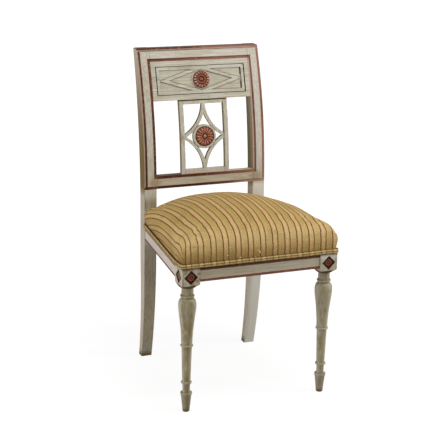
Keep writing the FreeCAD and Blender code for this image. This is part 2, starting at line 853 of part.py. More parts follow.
def corner_block(where):
    # a glue block on the right side, notched round the leg, its long face across the corner
    inset = rail_setback + rail_thick
    if where == "front":
        face_y = rail_setback + rail_thick
        leg_inner = leg_x - block_half
        far_y = block_side + corner_block_reach
        outline = [(leg_inner, face_y), (leg_inner - corner_block_reach, face_y),
                   (side_x(far_y, inset) - joint_clearance, far_y),
                   (side_x(block_side, inset) - joint_clearance, block_side), (leg_inner, block_side)]
    else:
        near_y = frame_depth - corner_block_reach
        outline = [(inner_half, back_rail_front), (inner_half - corner_block_reach, back_rail_front),
                   (side_x(near_y, inset) - joint_clearance, near_y),
                   (side_x(frame_depth, inset) - joint_clearance, frame_depth), (inner_half, frame_depth)]
    shape = plan_prism(outline, corner_block_top - corner_block_thick, corner_block_top)
    for hole in corner_screws(where, screw_clearance):
        shape = shape.cut(hole)
    return shape


def drilled(rail, where_list):
    for where in where_list:
        for hole in corner_screws(where, screw_clearance):
            rail = rail.cut(hole).cut(mirrored(hole))
    return rail


def web_places(count, middle):
    pitch = web_width + web_gap
    first = middle - pitch * (count - 1) / 2
    return [first + pitch * number for number in range(count)]


def crosswise_places():
    step = (frame_depth - crosswise_first - crosswise_last_inset) / (crosswise_count - 1)
    return [crosswise_first + step * number for number in range(crosswise_count)]


def woven_profile(start, end, crossings, over_first):
    # one strip seen from its edge: it lies low on the rails and rises over every other crossing
    low = frame_top
    high = frame_top + web_thick + web_layer_gap
    half = web_width / 2
    top = [(start, low)]
    for number, place in enumerate(crossings):
        if (number % 2 == 0) == over_first:
            top += [(place - half - web_gap / 2, low), (place - half, high),
                    (place + half, high), (place + half + web_gap / 2, low)]
    top.append((end, low))
    kept = [top[0]]
    for point in top[1:]:
        if point[0] > kept[-1][0]:
            kept.append(point)
    upper = [(along, level + web_thick) for along, level in kept]
    return kept + upper[::-1]


def lengthwise_web(number):
    middle = web_places(lengthwise_count, 0)[number]
    first = rail_setback + rail_rabbet_depth + web_end_inset
    last = back_rail_rear - web_end_inset
    profile = woven_profile(first, last, crosswise_places(), number % 2 == 0)
    points = [vec(middle - web_width / 2, along, level) for along, level in profile]
    return closed_face(points).extrude(vec(web_width, 0, 0))


def crosswise_web(number):
    place = crosswise_places()[number]
    half = side_x(place + web_width / 2, rebate_depth + web_end_inset)
    profile = woven_profile(-half, half, web_places(lengthwise_count, 0), number % 2 == 1)
    points = [vec(along, place - web_width / 2, level) for along, level in profile]
    return closed_face(points).extrude(vec(0, web_width, 0))


def tack(x, y, clearance):
    # a tack's pin below and its head above a strip that lies on a rail
    head = Part.makeCylinder(tack_head_radius, tack_head_thick, vec(x, y, frame_top + web_thick))
    pin = Part.makeCylinder(tack_pin_radius + clearance, tack_pin_long + web_thick,
                            vec(x, y, frame_top - tack_pin_long))
    if clearance:
        return pin
    return head.fuse(pin)


def tack_places():
    places = []
    for middle in web_places(lengthwise_count, 0):
        for offset in (-tack_spread / 2, tack_spread / 2):
            places.append((middle + offset, rail_setback + rail_thick / 2 + rail_rabbet_depth))
            places.append((middle + offset, back_rail_front + rail_thick / 2))
    for place in crosswise_places():
        for offset in (-tack_spread / 2, tack_spread / 2):
            y = place + offset
            x = side_x(y, rail_setback + rail_thick / 2 + rail_rabbet_depth)
            places.append((x, y))
            places.append((-x, y))
    return places


def pinned(shape):
    return shape.cut(Part.makeCompound([tack(x, y, screw_clearance) for x, y in tack_places()]))


def upright_notches(clearance):
    # the room that seat layers leave round the two back uprights
    notch = box(inner_half - clearance, back_width, frame_depth - clearance, rear_face + rake,
                0, overall_height)
    return Part.makeCompound([notch, mirrored(notch)])


def seat_outline(inset):
    front_x = front_width / 2 - rebate_depth - inset
    back_x = side_x(back_rail_rear, rebate_depth + inset)
    knee_x = side_x(block_side, rebate_depth + inset)
    return [(-front_x, rebate_depth + inset), (front_x, rebate_depth + inset), (knee_x, block_side),
            (back_x, back_rail_rear - inset), (-back_x, back_rail_rear - inset), (-knee_x, block_side)]


def hessian():
    low = frame_top + 2 * web_thick + 2 * web_layer_gap
    sheet = plan_prism(seat_outline(hessian_inset), low, low + hessian_thick)
    return sheet.cut(upright_notches(soft_clearance))


def quarter_round(distance, reach):
    # falls from one at the edge to zero at the end of a round's reach
    if distance >= reach:
        return 0.0
    run = 1 - distance / reach
    return 1 - math.sqrt(1 - run * run)


def cushion_section(y, grow):
    # one section across the seat: bottom, bowed sides, rounded shoulders and the crown
    from_front = y - rebate_depth + grow
    from_back = back_rail_rear + grow - y
    front_sink = quarter_round(from_front, front_roll)
    back_sink = quarter_round(from_back, back_roll)
    crown_fall = crown_fall_back * ((y - crown_place) / (frame_depth - crown_place)) ** 2
    top = crown_height - crown_fall + grow - front_roll_drop * front_sink - back_roll_drop * back_sink
    lift = cross_fall_lift * quarter_round(from_front, cross_fall_reach)
    fall = (cross_fall - lift) * (1 - back_sink / 2)
    half = min(front_width / 2, side_x(y, 0)) - rebate_depth + grow
    half -= corner_round * quarter_round(from_front, corner_round)
    shrink = 1 - end_flatten_share * max(front_sink, back_sink)
    roll = shoulder_roll * shrink
    height_here = shoulder_height - shoulder_height_fall * y / frame_depth
    bulge_x = half + side_bulge
    shoulder = top - fall
    side_top = shoulder - height_here * shrink
    ease = math.sqrt(1 / 2)
    bottom = cover_bottom - overrun
    middle_x = half + side_bulge * side_bulge_share
    foot = vec(half, y, bottom)
    ridge = vec(bulge_x - roll, y, shoulder)
    right_side = path(foot, [
        [vec(half, y, side_bulge_start)],
        [vec(middle_x, y, (side_bulge_start + side_top) / 2), vec(bulge_x, y, side_top)],
        [vec(bulge_x - roll * (1 - ease), y, side_top + (shoulder - side_top) * ease), ridge],
    ])
    left_side = [mirrored(edge) for edge in right_side]
    crown = Part.Arc(ridge, vec(0, y, top), vec(-ridge.x, y, shoulder)).toShape()
    base = line(vec(-half, y, bottom), foot)
    return Part.Wire([base] + right_side + [crown] + left_side[::-1])


def cushion_form(grow):
    # the crowned seat, from its front face to its back face, grown outwards by a margin
    front_end = rebate_depth - grow
    back_end = back_rail_rear + grow
    places = [front_end + front_roll * share for share in front_roll_shares]
    open_run = back_end - back_roll - front_end - front_roll
    places += [front_end + front_roll + open_run * share for share in open_run_shares]
    places += [back_end - back_roll * share for share in back_roll_shares]
    return Part.makeLoft([cushion_section(y, grow) for y in places], True, False)


def above(height):
    # everything over a height, as far as the seat reaches
    return box(-front_width, front_width, -front_width, 2 * front_width, height, overall_height)


def seat_pad():
    pad = cushion_form(0).common(above(frame_top + pad_lift))
    return pad.cut(upright_notches(2 * soft_clearance + cover_thick))


def seat_cover():
    outer = cushion_form(soft_clearance + cover_thick).common(above(cover_bottom))
    cover = outer.cut(cushion_form(soft_clearance))
    return cover.cut(upright_notches(soft_clearance))


def welt_section():
    # two cords side by side, one above the other, bound as one trim
    low = rebate_bottom + cord_lift
    cords = []
    for centre in (low, low + cord_pitch):
        ring = Part.makeCircle(cord_radius, vec(0, 0, centre), vec(0, 1, 0))
        cords.append(Part.Face(Part.Wire([ring])))
    return cords


def welt_run(start, end, face):
    # a straight length of welt between two places in plan
    along = end - start
    turn = math.degrees(math.atan2(along.y, along.x)) - 90
    piece = face.copy()
    piece.rotate(vec(0, 0, 0), vec(0, 0, 1), turn)
    piece.translate(start)
    return piece.extrude(along)


def welt_stand_off():
    return soft_clearance * 2 + cover_thick + cord_radius


def double_welt():
    # from one upright along the side, round the front corner, across, and back the same way
    off = welt_stand_off()
    face_x = front_width / 2 - rebate_depth + off
    front_y = rebate_depth - off
    radius = welt_corner_radius
    corner = vec(face_x - radius, front_y + radius, 0)
    knee = vec(side_x(block_side, rebate_depth - off), block_side, 0)
    end_y = frame_depth - soft_clearance
    end = vec(side_x(end_y, rebate_depth - off), end_y, 0)
    pieces = []
    for face in welt_section():
        half = [welt_run(vec(0, front_y, 0), vec(corner.x, front_y, 0), face),
                welt_run(vec(face_x, corner.y, 0), knee, face), welt_run(knee, end, face)]
        knob = Part.makeSphere(cord_radius, knee + vec(0, 0, face.CenterOfMass.z))
        bend = face.copy()
        bend.translate(vec(face_x, corner.y, 0))
        half.append(bend.revolve(corner, vec(0, 0, 1), -90))
        half.append(knob)
        side = half[0].multiFuse(half[1:])
        pieces += [side, mirrored(side)]
    whole = pieces[0].multiFuse(pieces[1:])
    return whole.cut(upright_notches(soft_clearance)).removeSplitter()


def back_welt():
    # the same trim along the back rail's rear face, between the uprights
    y = back_rail_rear + welt_stand_off()
    half = inner_half - soft_clearance
    runs = [welt_run(vec(-half, y, 0), vec(half, y, 0), face) for face in welt_section()]
    return runs[0].fuse(runs[1])


def assembly():
    nodes = {}
    upright = back_upright()
    nodes["back_upright_right"] = upright
    nodes["back_upright_left"] = mirrored(upright)
    nodes["top_rail"] = back_frame_rail("top")
    nodes["lower_back_rail"] = back_frame_rail("lower")
    nodes["tablet_panel"] = tablet_panel()
    for name, strip in fillet_strips().items():
        nodes["tablet_fillet_" + name] = strip
    for name, strip in lozenge_strips().items():
        nodes["lozenge_strip_" + name] = strip
    nodes["rosette_base"] = upper_rosette_base()
    nodes["tablet_rosette"] = upper_rosette()
    for side, name in ((-1, "left"), (1, "right")):
        nodes["splat_bar_" + name] = splat_side_bar(side)
    for level in ("top", "bottom"):
        nodes["splat_bar_" + level] = splat_cross_bar(level)
    for across, sideways in ((-1, "left"), (1, "right")):
        for upward, level in ((-1, "lower"), (1, "upper")):
            nodes["splat_curve_" + level + "_" + sideways] = splat_curve(across, upward)
    nodes["medallion"] = medallion()
    nodes["medallion_rosette"] = medallion_rosette()
    leg = front_leg()
    nodes["front_leg_right"] = leg
    nodes["front_leg_left"] = mirrored(leg)
    patera = diamond_patera()
    nodes["diamond_front_right"] = patera
    nodes["diamond_side_right"] = to_outer_face(patera)
    nodes["diamond_front_left"] = mirrored(patera)
    nodes["diamond_side_left"] = mirrored(to_outer_face(patera))
    side_rail = pinned(drilled(side_seat_rail(), ("front", "back")))
    nodes["front_seat_rail"] = pinned(drilled(front_seat_rail(), ("front",)))
    nodes["back_seat_rail"] = pinned(drilled(back_seat_rail(), ("back",)))
    nodes["side_seat_rail_right"] = side_rail
    nodes["side_seat_rail_left"] = mirrored(side_rail)
    screws = []
    for where in ("front", "back"):
        block = corner_block(where)
        nodes["corner_block_" + where + "_right"] = block
        nodes["corner_block_" + where + "_left"] = mirrored(block)
        for one in corner_screws(where, 0):
            screws += [one, mirrored(one)]
    nodes["corner_block_screws"] = Part.makeCompound(screws)
    for number in range(lengthwise_count):
        nodes["webbing_lengthwise_%d" % (number + 1)] = pinned(lengthwise_web(number))
    for number in range(crosswise_count):
        nodes["webbing_crosswise_%d" % (number + 1)] = pinned(crosswise_web(number))
    nodes["webbing_tacks"] = Part.makeCompound([tack(x, y, 0) for x, y in tack_places()])
    nodes["hessian_sheet"] = hessian()
    nodes["seat_pad"] = seat_pad()
    nodes["seat_cover"] = seat_cover()
    nodes["double_welt"] = double_welt()
    nodes["back_welt"] = back_welt()
    return nodes


def main():
    os.makedirs("parts", exist_ok=True)
    nodes = assembly()
    everything = Part.makeCompound(list(nodes.values()))
    bounds = everything.optimalBoundingBox(False)
    middle = vec(0, -(bounds.YMin + bounds.YMax) / 2, 0)
    for name, shape in nodes.items():
        placed = shape.copy()
        placed.translate(middle)
        placed.exportStep("parts/" + name + ".step")
        print("%-28s solids %3d  valid %s  volume %.0f" % (name, len(placed.Solids), placed.isValid(),
                                                           placed.Volume))
    print("nodes %d  depth from %.2f to %.2f" % (len(nodes), bounds.YMin, bounds.YMax))


main()
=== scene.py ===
"""The looks of a painted side chair: worn paint, carved rosettes and a striped, stuffed seat."""

import logging
import math
from dataclasses import dataclass
from enum import Enum
from typing import Any

import bmesh
import bpy
import numpy as np
from mathutils import Matrix, Vector


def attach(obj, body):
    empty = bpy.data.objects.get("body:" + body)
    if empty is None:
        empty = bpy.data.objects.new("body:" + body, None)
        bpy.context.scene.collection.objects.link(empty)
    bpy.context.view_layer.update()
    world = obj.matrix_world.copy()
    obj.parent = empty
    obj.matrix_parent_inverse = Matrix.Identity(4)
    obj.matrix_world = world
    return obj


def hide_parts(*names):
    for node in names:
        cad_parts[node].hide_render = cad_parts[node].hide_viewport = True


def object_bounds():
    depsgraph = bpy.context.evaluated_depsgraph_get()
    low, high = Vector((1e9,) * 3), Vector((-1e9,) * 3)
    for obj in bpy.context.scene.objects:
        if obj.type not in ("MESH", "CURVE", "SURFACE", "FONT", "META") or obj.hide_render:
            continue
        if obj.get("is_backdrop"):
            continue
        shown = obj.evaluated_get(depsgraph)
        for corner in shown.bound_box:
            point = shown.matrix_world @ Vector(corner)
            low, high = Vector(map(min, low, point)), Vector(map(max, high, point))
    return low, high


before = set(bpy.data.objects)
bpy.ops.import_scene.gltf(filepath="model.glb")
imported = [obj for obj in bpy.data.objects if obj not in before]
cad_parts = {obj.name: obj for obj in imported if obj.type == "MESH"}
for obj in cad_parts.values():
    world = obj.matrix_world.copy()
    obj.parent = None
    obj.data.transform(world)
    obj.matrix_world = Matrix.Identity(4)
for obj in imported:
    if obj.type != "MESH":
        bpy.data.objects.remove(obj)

LOG = logging.getLogger("side_chair")

# One millimetre, and how far behind the front faces of the leg blocks the middle of the depth is
MM = 0.001
DEPTH_MIDDLE = 256.25

Colour = tuple[float, float, float, float]
Triple = tuple[float, float, float]


def colour(code: str) -> Colour:
    """A linear colour from six hexadecimal figures.

    Args:
        code: Red, green and blue as written for a screen, such as "#C3BBA8".

    Returns:
        The colour as four linear numbers.
    """
    levels = [int(code[place:place + 2], 16) / 255 for place in (1, 3, 5)]
    linear = [v / 12.92 if v <= 0.04045 else ((v + 0.055) / 1.055) ** 2.4 for v in levels]
    return (linear[0], linear[1], linear[2], 1.0)


class Value:
    """A shader socket that takes part in sums: each operator adds the node it needs."""

    def __init__(self, painter: "Nodes", socket: bpy.types.NodeSocket | None) -> None:
        """Keeps the socket and what made it."""
        self.painter = painter
        self.socket = socket

    def __repr__(self) -> str:
        """The names of the node and its output, which tell one Value from another."""
        return f"{self.socket.node.name}/{self.socket.identifier}"

    def __add__(self, other: Any) -> "Value":
        """This plus other."""
        return self.painter.math("ADD", self, other)

    __radd__ = __add__

    def __sub__(self, other: Any) -> "Value":
        """This minus other."""
        return self.painter.math("SUBTRACT", self, other)

    def __rsub__(self, other: Any) -> "Value":
        """Other minus this."""
        return self.painter.math("SUBTRACT", other, self)

    def __mul__(self, other: Any) -> "Value":
        """This times other."""
        return self.painter.math("MULTIPLY", self, other)

    __rmul__ = __mul__

    def __truediv__(self, other: Any) -> "Value":
        """This over other."""
        return self.painter.math("DIVIDE", self, other)

    def __abs__(self) -> "Value":
        """This without its sign."""
        return self.painter.math("ABSOLUTE", self)

    def most(self, other: Any) -> "Value":
        """The larger of this and other."""
        return self.painter.math("MAXIMUM", self, other)

    def least(self, other: Any) -> "Value":
        """The smaller of this and other."""
        return self.painter.math("MINIMUM", self, other)

    def wave(self) -> "Value":
        """The sine of this, in radians."""
        return self.painter.math("SINE", self)

    def part(self) -> "Value":
        """What is left of this after its whole number."""
        return self.painter.math("FRACT", self)

    def rise(self, low: float, high: float) -> "Value":
        """A smooth step: nought up to low, one from high on, or the other way round if low is higher."""
        return self.painter.node("ShaderNodeMapRange", {"interpolation_type": "SMOOTHSTEP"},
                                 {"Value": self, "From Min": low, "From Max": high})

    def near(self, centre: float, reach: float) -> "Value":
        """One where this equals centre, falling smoothly to nought at a distance of reach."""
        return abs(self - centre).rise(reach, 0.0)


class Nodes:
    """Fills one node tree."""

    def __init__(self, tree: bpy.types.NodeTree) -> None:
        """Starts with nothing in the tree.

        Args:
            tree: The node tree, which is emptied.
        """
        self.tree = tree
        self.known: dict[str, bpy.types.Node] = {}
        tree.nodes.clear()

    def node(self, kind: str, settings: dict[str, Any] | None = None,
             inputs: dict[str | int, Any] | None = None, output: str | int = 0) -> Value:
        """Adds one node, or finds the one that has the same settings and inputs.

        Args:
            kind: The node's type.
            settings: Its properties, set first.
            inputs: Numbers, colours or Values for its sockets.
            output: The name or number of the output that is wanted.

        Returns:
            That output, or a Value without a socket for a node that has none.
        """
        same = f"{kind} {settings} {inputs}"
        if same not in self.known:
            made = self.known[same] = self.tree.nodes.new(kind)
            for name, value in (settings or {}).items():
                setattr(made, name, value)
            for name, value in (inputs or {}).items():
                self.feed(made.inputs[name], value)
        outputs = self.known[same].outputs
        return Value(self, outputs[output] if len(outputs) else None)

    def feed(self, socket: bpy.types.NodeSocket, value: Any) -> None:
        """Feeds one socket.

        Args:
            socket: An input of a node.
            value: A Value to link to it, or a number or colour to set on it.
        """
        if isinstance(value, Value):
            self.tree.links.new(value.socket, socket)
        else:
            socket.default_value = value

    def split(self, vector: Value) -> list[Value]:
        """The three parts of a vector."""
        parts = self.node("ShaderNodeSeparateXYZ", inputs={0: vector}).socket.node.outputs
        return [Value(self, part) for part in parts]

    def math(self, operation: str, first: Any, second: Any = 0.0) -> Value:
        """One Math node on numbers or Values."""
        return self.node("ShaderNodeMath", {"operation": operation}, {0: first, 1: second})

    def mix(self, share: Any, below: Any, above: Any) -> Value:
        """A colour between two: below where share is nought, above where it is one."""
        return self.node("ShaderNodeMix", {"data_type": "RGBA"}, {0: share, 6: below, 7: above}, 2)

    def shown(self) -> Value:
        """One for a ray that the camera sees straight or through a gloss or glass, otherwise nought.

        Returns:
            The value.
        """
        rays = [self.node("ShaderNodeLightPath", output=f"Is {kind} Ray")
                for kind in ("Camera", "Glossy", "Transmission")]
        return rays[0].most(rays[1]).most(rays[2])


class Painter(Nodes):
    """Builds the nodes of one material, in Object coordinates that are read in millimetres."""

    def __init__(self, name: str) -> None:
        """Starts a material with a plain shader as its surface.

        Args:
            name: The material's name.
        """
        self.material = bpy.data.materials.new(name)
        self.material.use_nodes = True
        super().__init__(self.material.node_tree)
        self.surface = self.node("ShaderNodeBsdfPrincipled")
        self.shader = self.surface.socket.node

    def place(self) -> Value:
        """The Object coordinates, in metres."""
        return self.node("ShaderNodeTexCoord", output="Object")

    def axes(self) -> tuple[Value, Value, Value]:
        """X across, Y from the blocks' front faces and Z from the floor, in millimetres."""
        x, y, z = self.split(self.place())
        return x * 1000.0, y * 1000.0 + DEPTH_MIDDLE, z * 1000.0

    def away(self, x: float, y: float, z: float) -> Value:
        """The distance from a place, all in millimetres.

        Args:
            x: How far right the place is.
            y: How far back, from the leg blocks' front faces.
            z: How far up.

        Returns:
            The distance.
        """
        spot = (x * MM, (y - DEPTH_MIDDLE) * MM, z * MM)
        return self.node("ShaderNodeVectorMath", {"operation": "DISTANCE"}, {0: self.place(), 1: spot},
                         "Value") * 1000.0

    def facing(self) -> list[Value]:
        """The three parts of the face's own direction."""
        return self.split(self.node("ShaderNodeNewGeometry", output="True Normal"))

    def carved(self) -> Value:
        """The attribute "carved": nought in the hollows of a carving and one on its heights."""
        return self.node("ShaderNodeAttribute", {"attribute_name": "carved"}, output="Fac")

    def along_cloth(self) -> tuple[Value, Value]:
        """The two UV coordinates, in millimetres of cloth."""
        across, along, _ = self.split(self.node("ShaderNodeTexCoord", output="UV"))
        return across * 1000.0, along * 1000.0

    def noise(self, scale: Triple, shift: float, detail: float) -> Value:
        """Noise that may be drawn out along an axis.

        Args:
            scale: The number of clouds a metre along each axis.
            shift: How far the noise is moved, so that no two are alike.
            detail: How many finer layers it has.

        Returns:
            Its value, from nought to one.
        """
        spread = self.node("ShaderNodeMapping", inputs={
            "Vector": self.place(), "Scale": scale, "Location": (shift, shift, shift)})
        return self.node("ShaderNodeTexNoise", inputs={
            "Vector": spread, "Scale": 1.0, "Detail": detail, "Roughness": 0.55})

    def cloud(self, scale: float, shift: float, detail: float) -> Value:
        """Noise with the same number of clouds a metre every way."""
        return self.noise((scale, scale, scale), shift, detail)

    def relief(self, height: Value, depth: float, strength: float = 1.0) -> None:
        """Bumps the surface.

        Args:
            height: The relief, from nought to one.
            depth: How deep a relief of one is, in millimetres.
            strength: How much of it the light shows.
        """
        bump = self.node("ShaderNodeBump", inputs={
            "Height": height, "Distance": depth * MM, "Strength": strength}, output="Normal")
        self.feed(self.shader.inputs["Normal"], bump)

    def set(self, **sockets: Any) -> bpy.types.Material:
        """Sets the shader's sockets and finishes the material.

        Args:
            sockets: Numbers, colours or Values by the sockets' names, with _ for a space.

        Returns:
            The material.
        """
        for name, value in sockets.items():
            self.feed(self.shader.inputs[name.replace("_", " ")], value)
        self.node("ShaderNodeOutputMaterial", inputs={"Surface": self.surface})
        return self.material


class Grain(Enum):
    """Which way the wood under the paint runs, as clouds a metre along each axis."""

    UP = (310.0, 310.0, 12.0)
    ACROSS = (12.0, 310.0, 310.0)
    BACK = (310.0, 12.0, 310.0)


@dataclass
class Coat:
    """What one coat of old paint gives the shader, while it is being built up."""

    paint: "WornPaint"
    painter: Painter
    tone: Value
    rough: Value
    height: Value

    def glaze(self, mask: Value, shade: Colour, share: Any) -> None:
        """Lays a colour over the coat where a mask is one."""
        self.tone = self.painter.mix((mask * share).least(1.0), self.tone, shade)

    def soil_and_shade(self, mask: Value, share: float) -> None:
        """Darkens in cloudy amounts where a mask is one: old dirt, and painted shade where the mask lies
        in grooves, recesses, corners and beside raised parts.
        """
        self.glaze(mask * (0.55 + 0.9 * self.painter.cloud(150.0, 23.0, 3.0)), self.paint.grime_and_shade, share)

    def pick_out(self, inside: Value, facing: Value, dark: Any) -> None:
        """Lays a hand-painted red-brown line.

        Args:
            inside: How far a point lies inside the line, in millimetres.
            facing: One on the faces that are painted.
            dark: From nought to one, how much the line goes towards its dark tone.
        """
        painter, paint = self.painter, self.paint
        patch = painter.cloud(120.0, 17.0, 4.0)
        place = inside + (painter.cloud(70.0, 11.0, 3.0) - 0.5) * 2.4
        self.glaze(place.rise(-6.0, 0.5) * facing * (0.4 + patch), paint.pink, 0.55)
        tone = painter.mix(dark, paint.line, paint.line_dark)
        tone = painter.mix(patch.rise(0.5, 0.72) * 0.5, tone, paint.line_rubbed)
        worn = (0.84 + 0.14 * dark) - 0.3 * patch.rise(0.62, 0.8)
        self.tone = painter.mix(place.rise(-0.9, 0.9) * facing * worn, self.tone, tone)

    def finish(self, depth: float, gloss: float = 0.12) -> bpy.types.Material:
        """Links the coat to the shader, with its relief depth millimetres deep."""
        self.painter.relief(self.height, depth)
        return self.painter.set(Base_Color=self.tone, Roughness=self.rough, Specular_IOR_Level=gloss)


@dataclass(frozen=True)
class WornPaint:
    """Old matt paint, brushed over carved wood and rubbed back, with lines picked out in red-brown."""

    pale: Colour = colour("#B8B5A7")
    warm: Colour = colour("#AEA48B")
    bright: Colour = colour("#D3D0C5")
    faded: Colour = colour("#D0C3BD")
    olive: Colour = colour("#A2977A")
    shaded: Colour = colour("#655325")
    pink: Colour = colour("#BFA79A")
    # dark dirt, and also the colour of painted shade in grooves, recesses and on faces turned from the
    # light
    grime_and_shade: Colour = colour("#493820")
    bare: Colour = colour("#8C7250")
    line: Colour = colour("#7E3C22")
    line_dark: Colour = colour("#4B230C")
    line_rubbed: Colour = colour("#A1765F")

    def coat(self, name: str, grain: Grain, warmth: float = 0.0) -> Coat:
        """The plain painted surface.

        Broad clouds carry the pale tone to a warmer one, smaller ones to olive and pink; drawn out
        noise along the grain gives brush marks, with the darkest of them rubbed through to wood.

        Args:
            name: The material's name.
            grain: The direction of the brush marks.
            warmth: How much further the tone goes towards the warm one, from nought to one.

        Returns:
            The coat, for lines and grime to be added.
        """
        painter = Painter(name)
        broad = painter.cloud(7.0, 1.0, 3.0)
        patch = painter.cloud(38.0, 5.0, 4.0)
        brush = painter.noise(grain.value, 2.0, 3.0)
        hair = painter.noise(tuple(2.6 * step for step in grain.value), 7.0, 2.0)
        fleck = painter.cloud(420.0, 3.0, 1.0)
        tone = painter.mix((broad.rise(0.38, 0.64) * 0.55 + warmth).least(1.0), self.pale, self.warm)
        tone = painter.mix(patch.rise(0.5, 0.74) * 0.45, tone, self.olive)
        tone = painter.mix(patch.rise(0.47, 0.3) * 0.35, tone, self.pink)
        tone = painter.mix(brush.rise(0.5, 0.7) * 0.5, tone, self.bare)
        tone = painter.mix(brush.rise(0.47, 0.3) * 0.55, tone, self.bright)
        tone = painter.mix((hair.rise(0.6, 0.72) * broad.rise(0.36, 0.56)) * 0.6, tone, self.grime_and_shade)
        tone = painter.mix(fleck.rise(0.72, 0.78) * 0.5, tone, self.grime_and_shade)
        tone = painter.mix(hair.rise(0.42, 0.3) * 0.35, tone, self.bright)
        rough = 0.6 + 0.2 * patch + 0.1 * brush
        height = 0.55 * brush + 0.3 * hair + 0.15 * patch
        return Coat(self, painter, tone, rough, height)


@dataclass(frozen=True)
class Carving:
    """Red-brown paint on small carving: dark paint with painted shade in its hollows, and pale on its
    heights where it is rubbed and a highlight is painted.
    """

    ground: Colour = colour("#8C4629")
    # the hollow colour stands for painted shade as well as dark paint; the rubbed colour for wear and a
    # painted highlight
    hollow: Colour = colour("#2A1206")
    rubbed: Colour = colour("#D9AE8C")
    plain: Colour = colour("#AFA997")
    gloss: float = 0.12

    def material(self, name: str, darker: float = 0.0) -> bpy.types.Material:
        """The finish, from the attribute "carved", nought in the hollows and one on the heights.

        What faces straight back has the plain paint of the frame.

        Args:
            name: The material's name.
            darker: How much of the ground goes towards the hollows' colour.

        Returns:
            The material.
        """
        painter = Painter(name)
        carved = painter.carved()
        cloud = painter.cloud(260.0, 4.0, 3.0)
        worn = painter.cloud(90.0, 9.0, 3.0)
        # painted shade in the hollows
        tone = painter.mix((carved + (cloud - 0.5) * 0.35).rise(0.08, 0.62), self.hollow, self.ground)
        if darker:
            tone = painter.mix(darker, tone, self.hollow)
        # pale where the heights are rubbed, with a painted highlight on them
        tone = painter.mix((carved + (cloud - 0.5) * 0.6).rise(0.8, 1.2) * worn.rise(0.34, 0.66) * 0.75,
                           tone, self.rubbed)
        _, behind, _ = painter.facing()
        tone = painter.mix(behind.rise(0.3, 0.7), tone, self.plain)
        painter.relief(cloud, 0.12)
        return painter.set(Base_Color=tone, Roughness=0.44 - 0.16 * carved, Specular_IOR_Level=self.gloss)


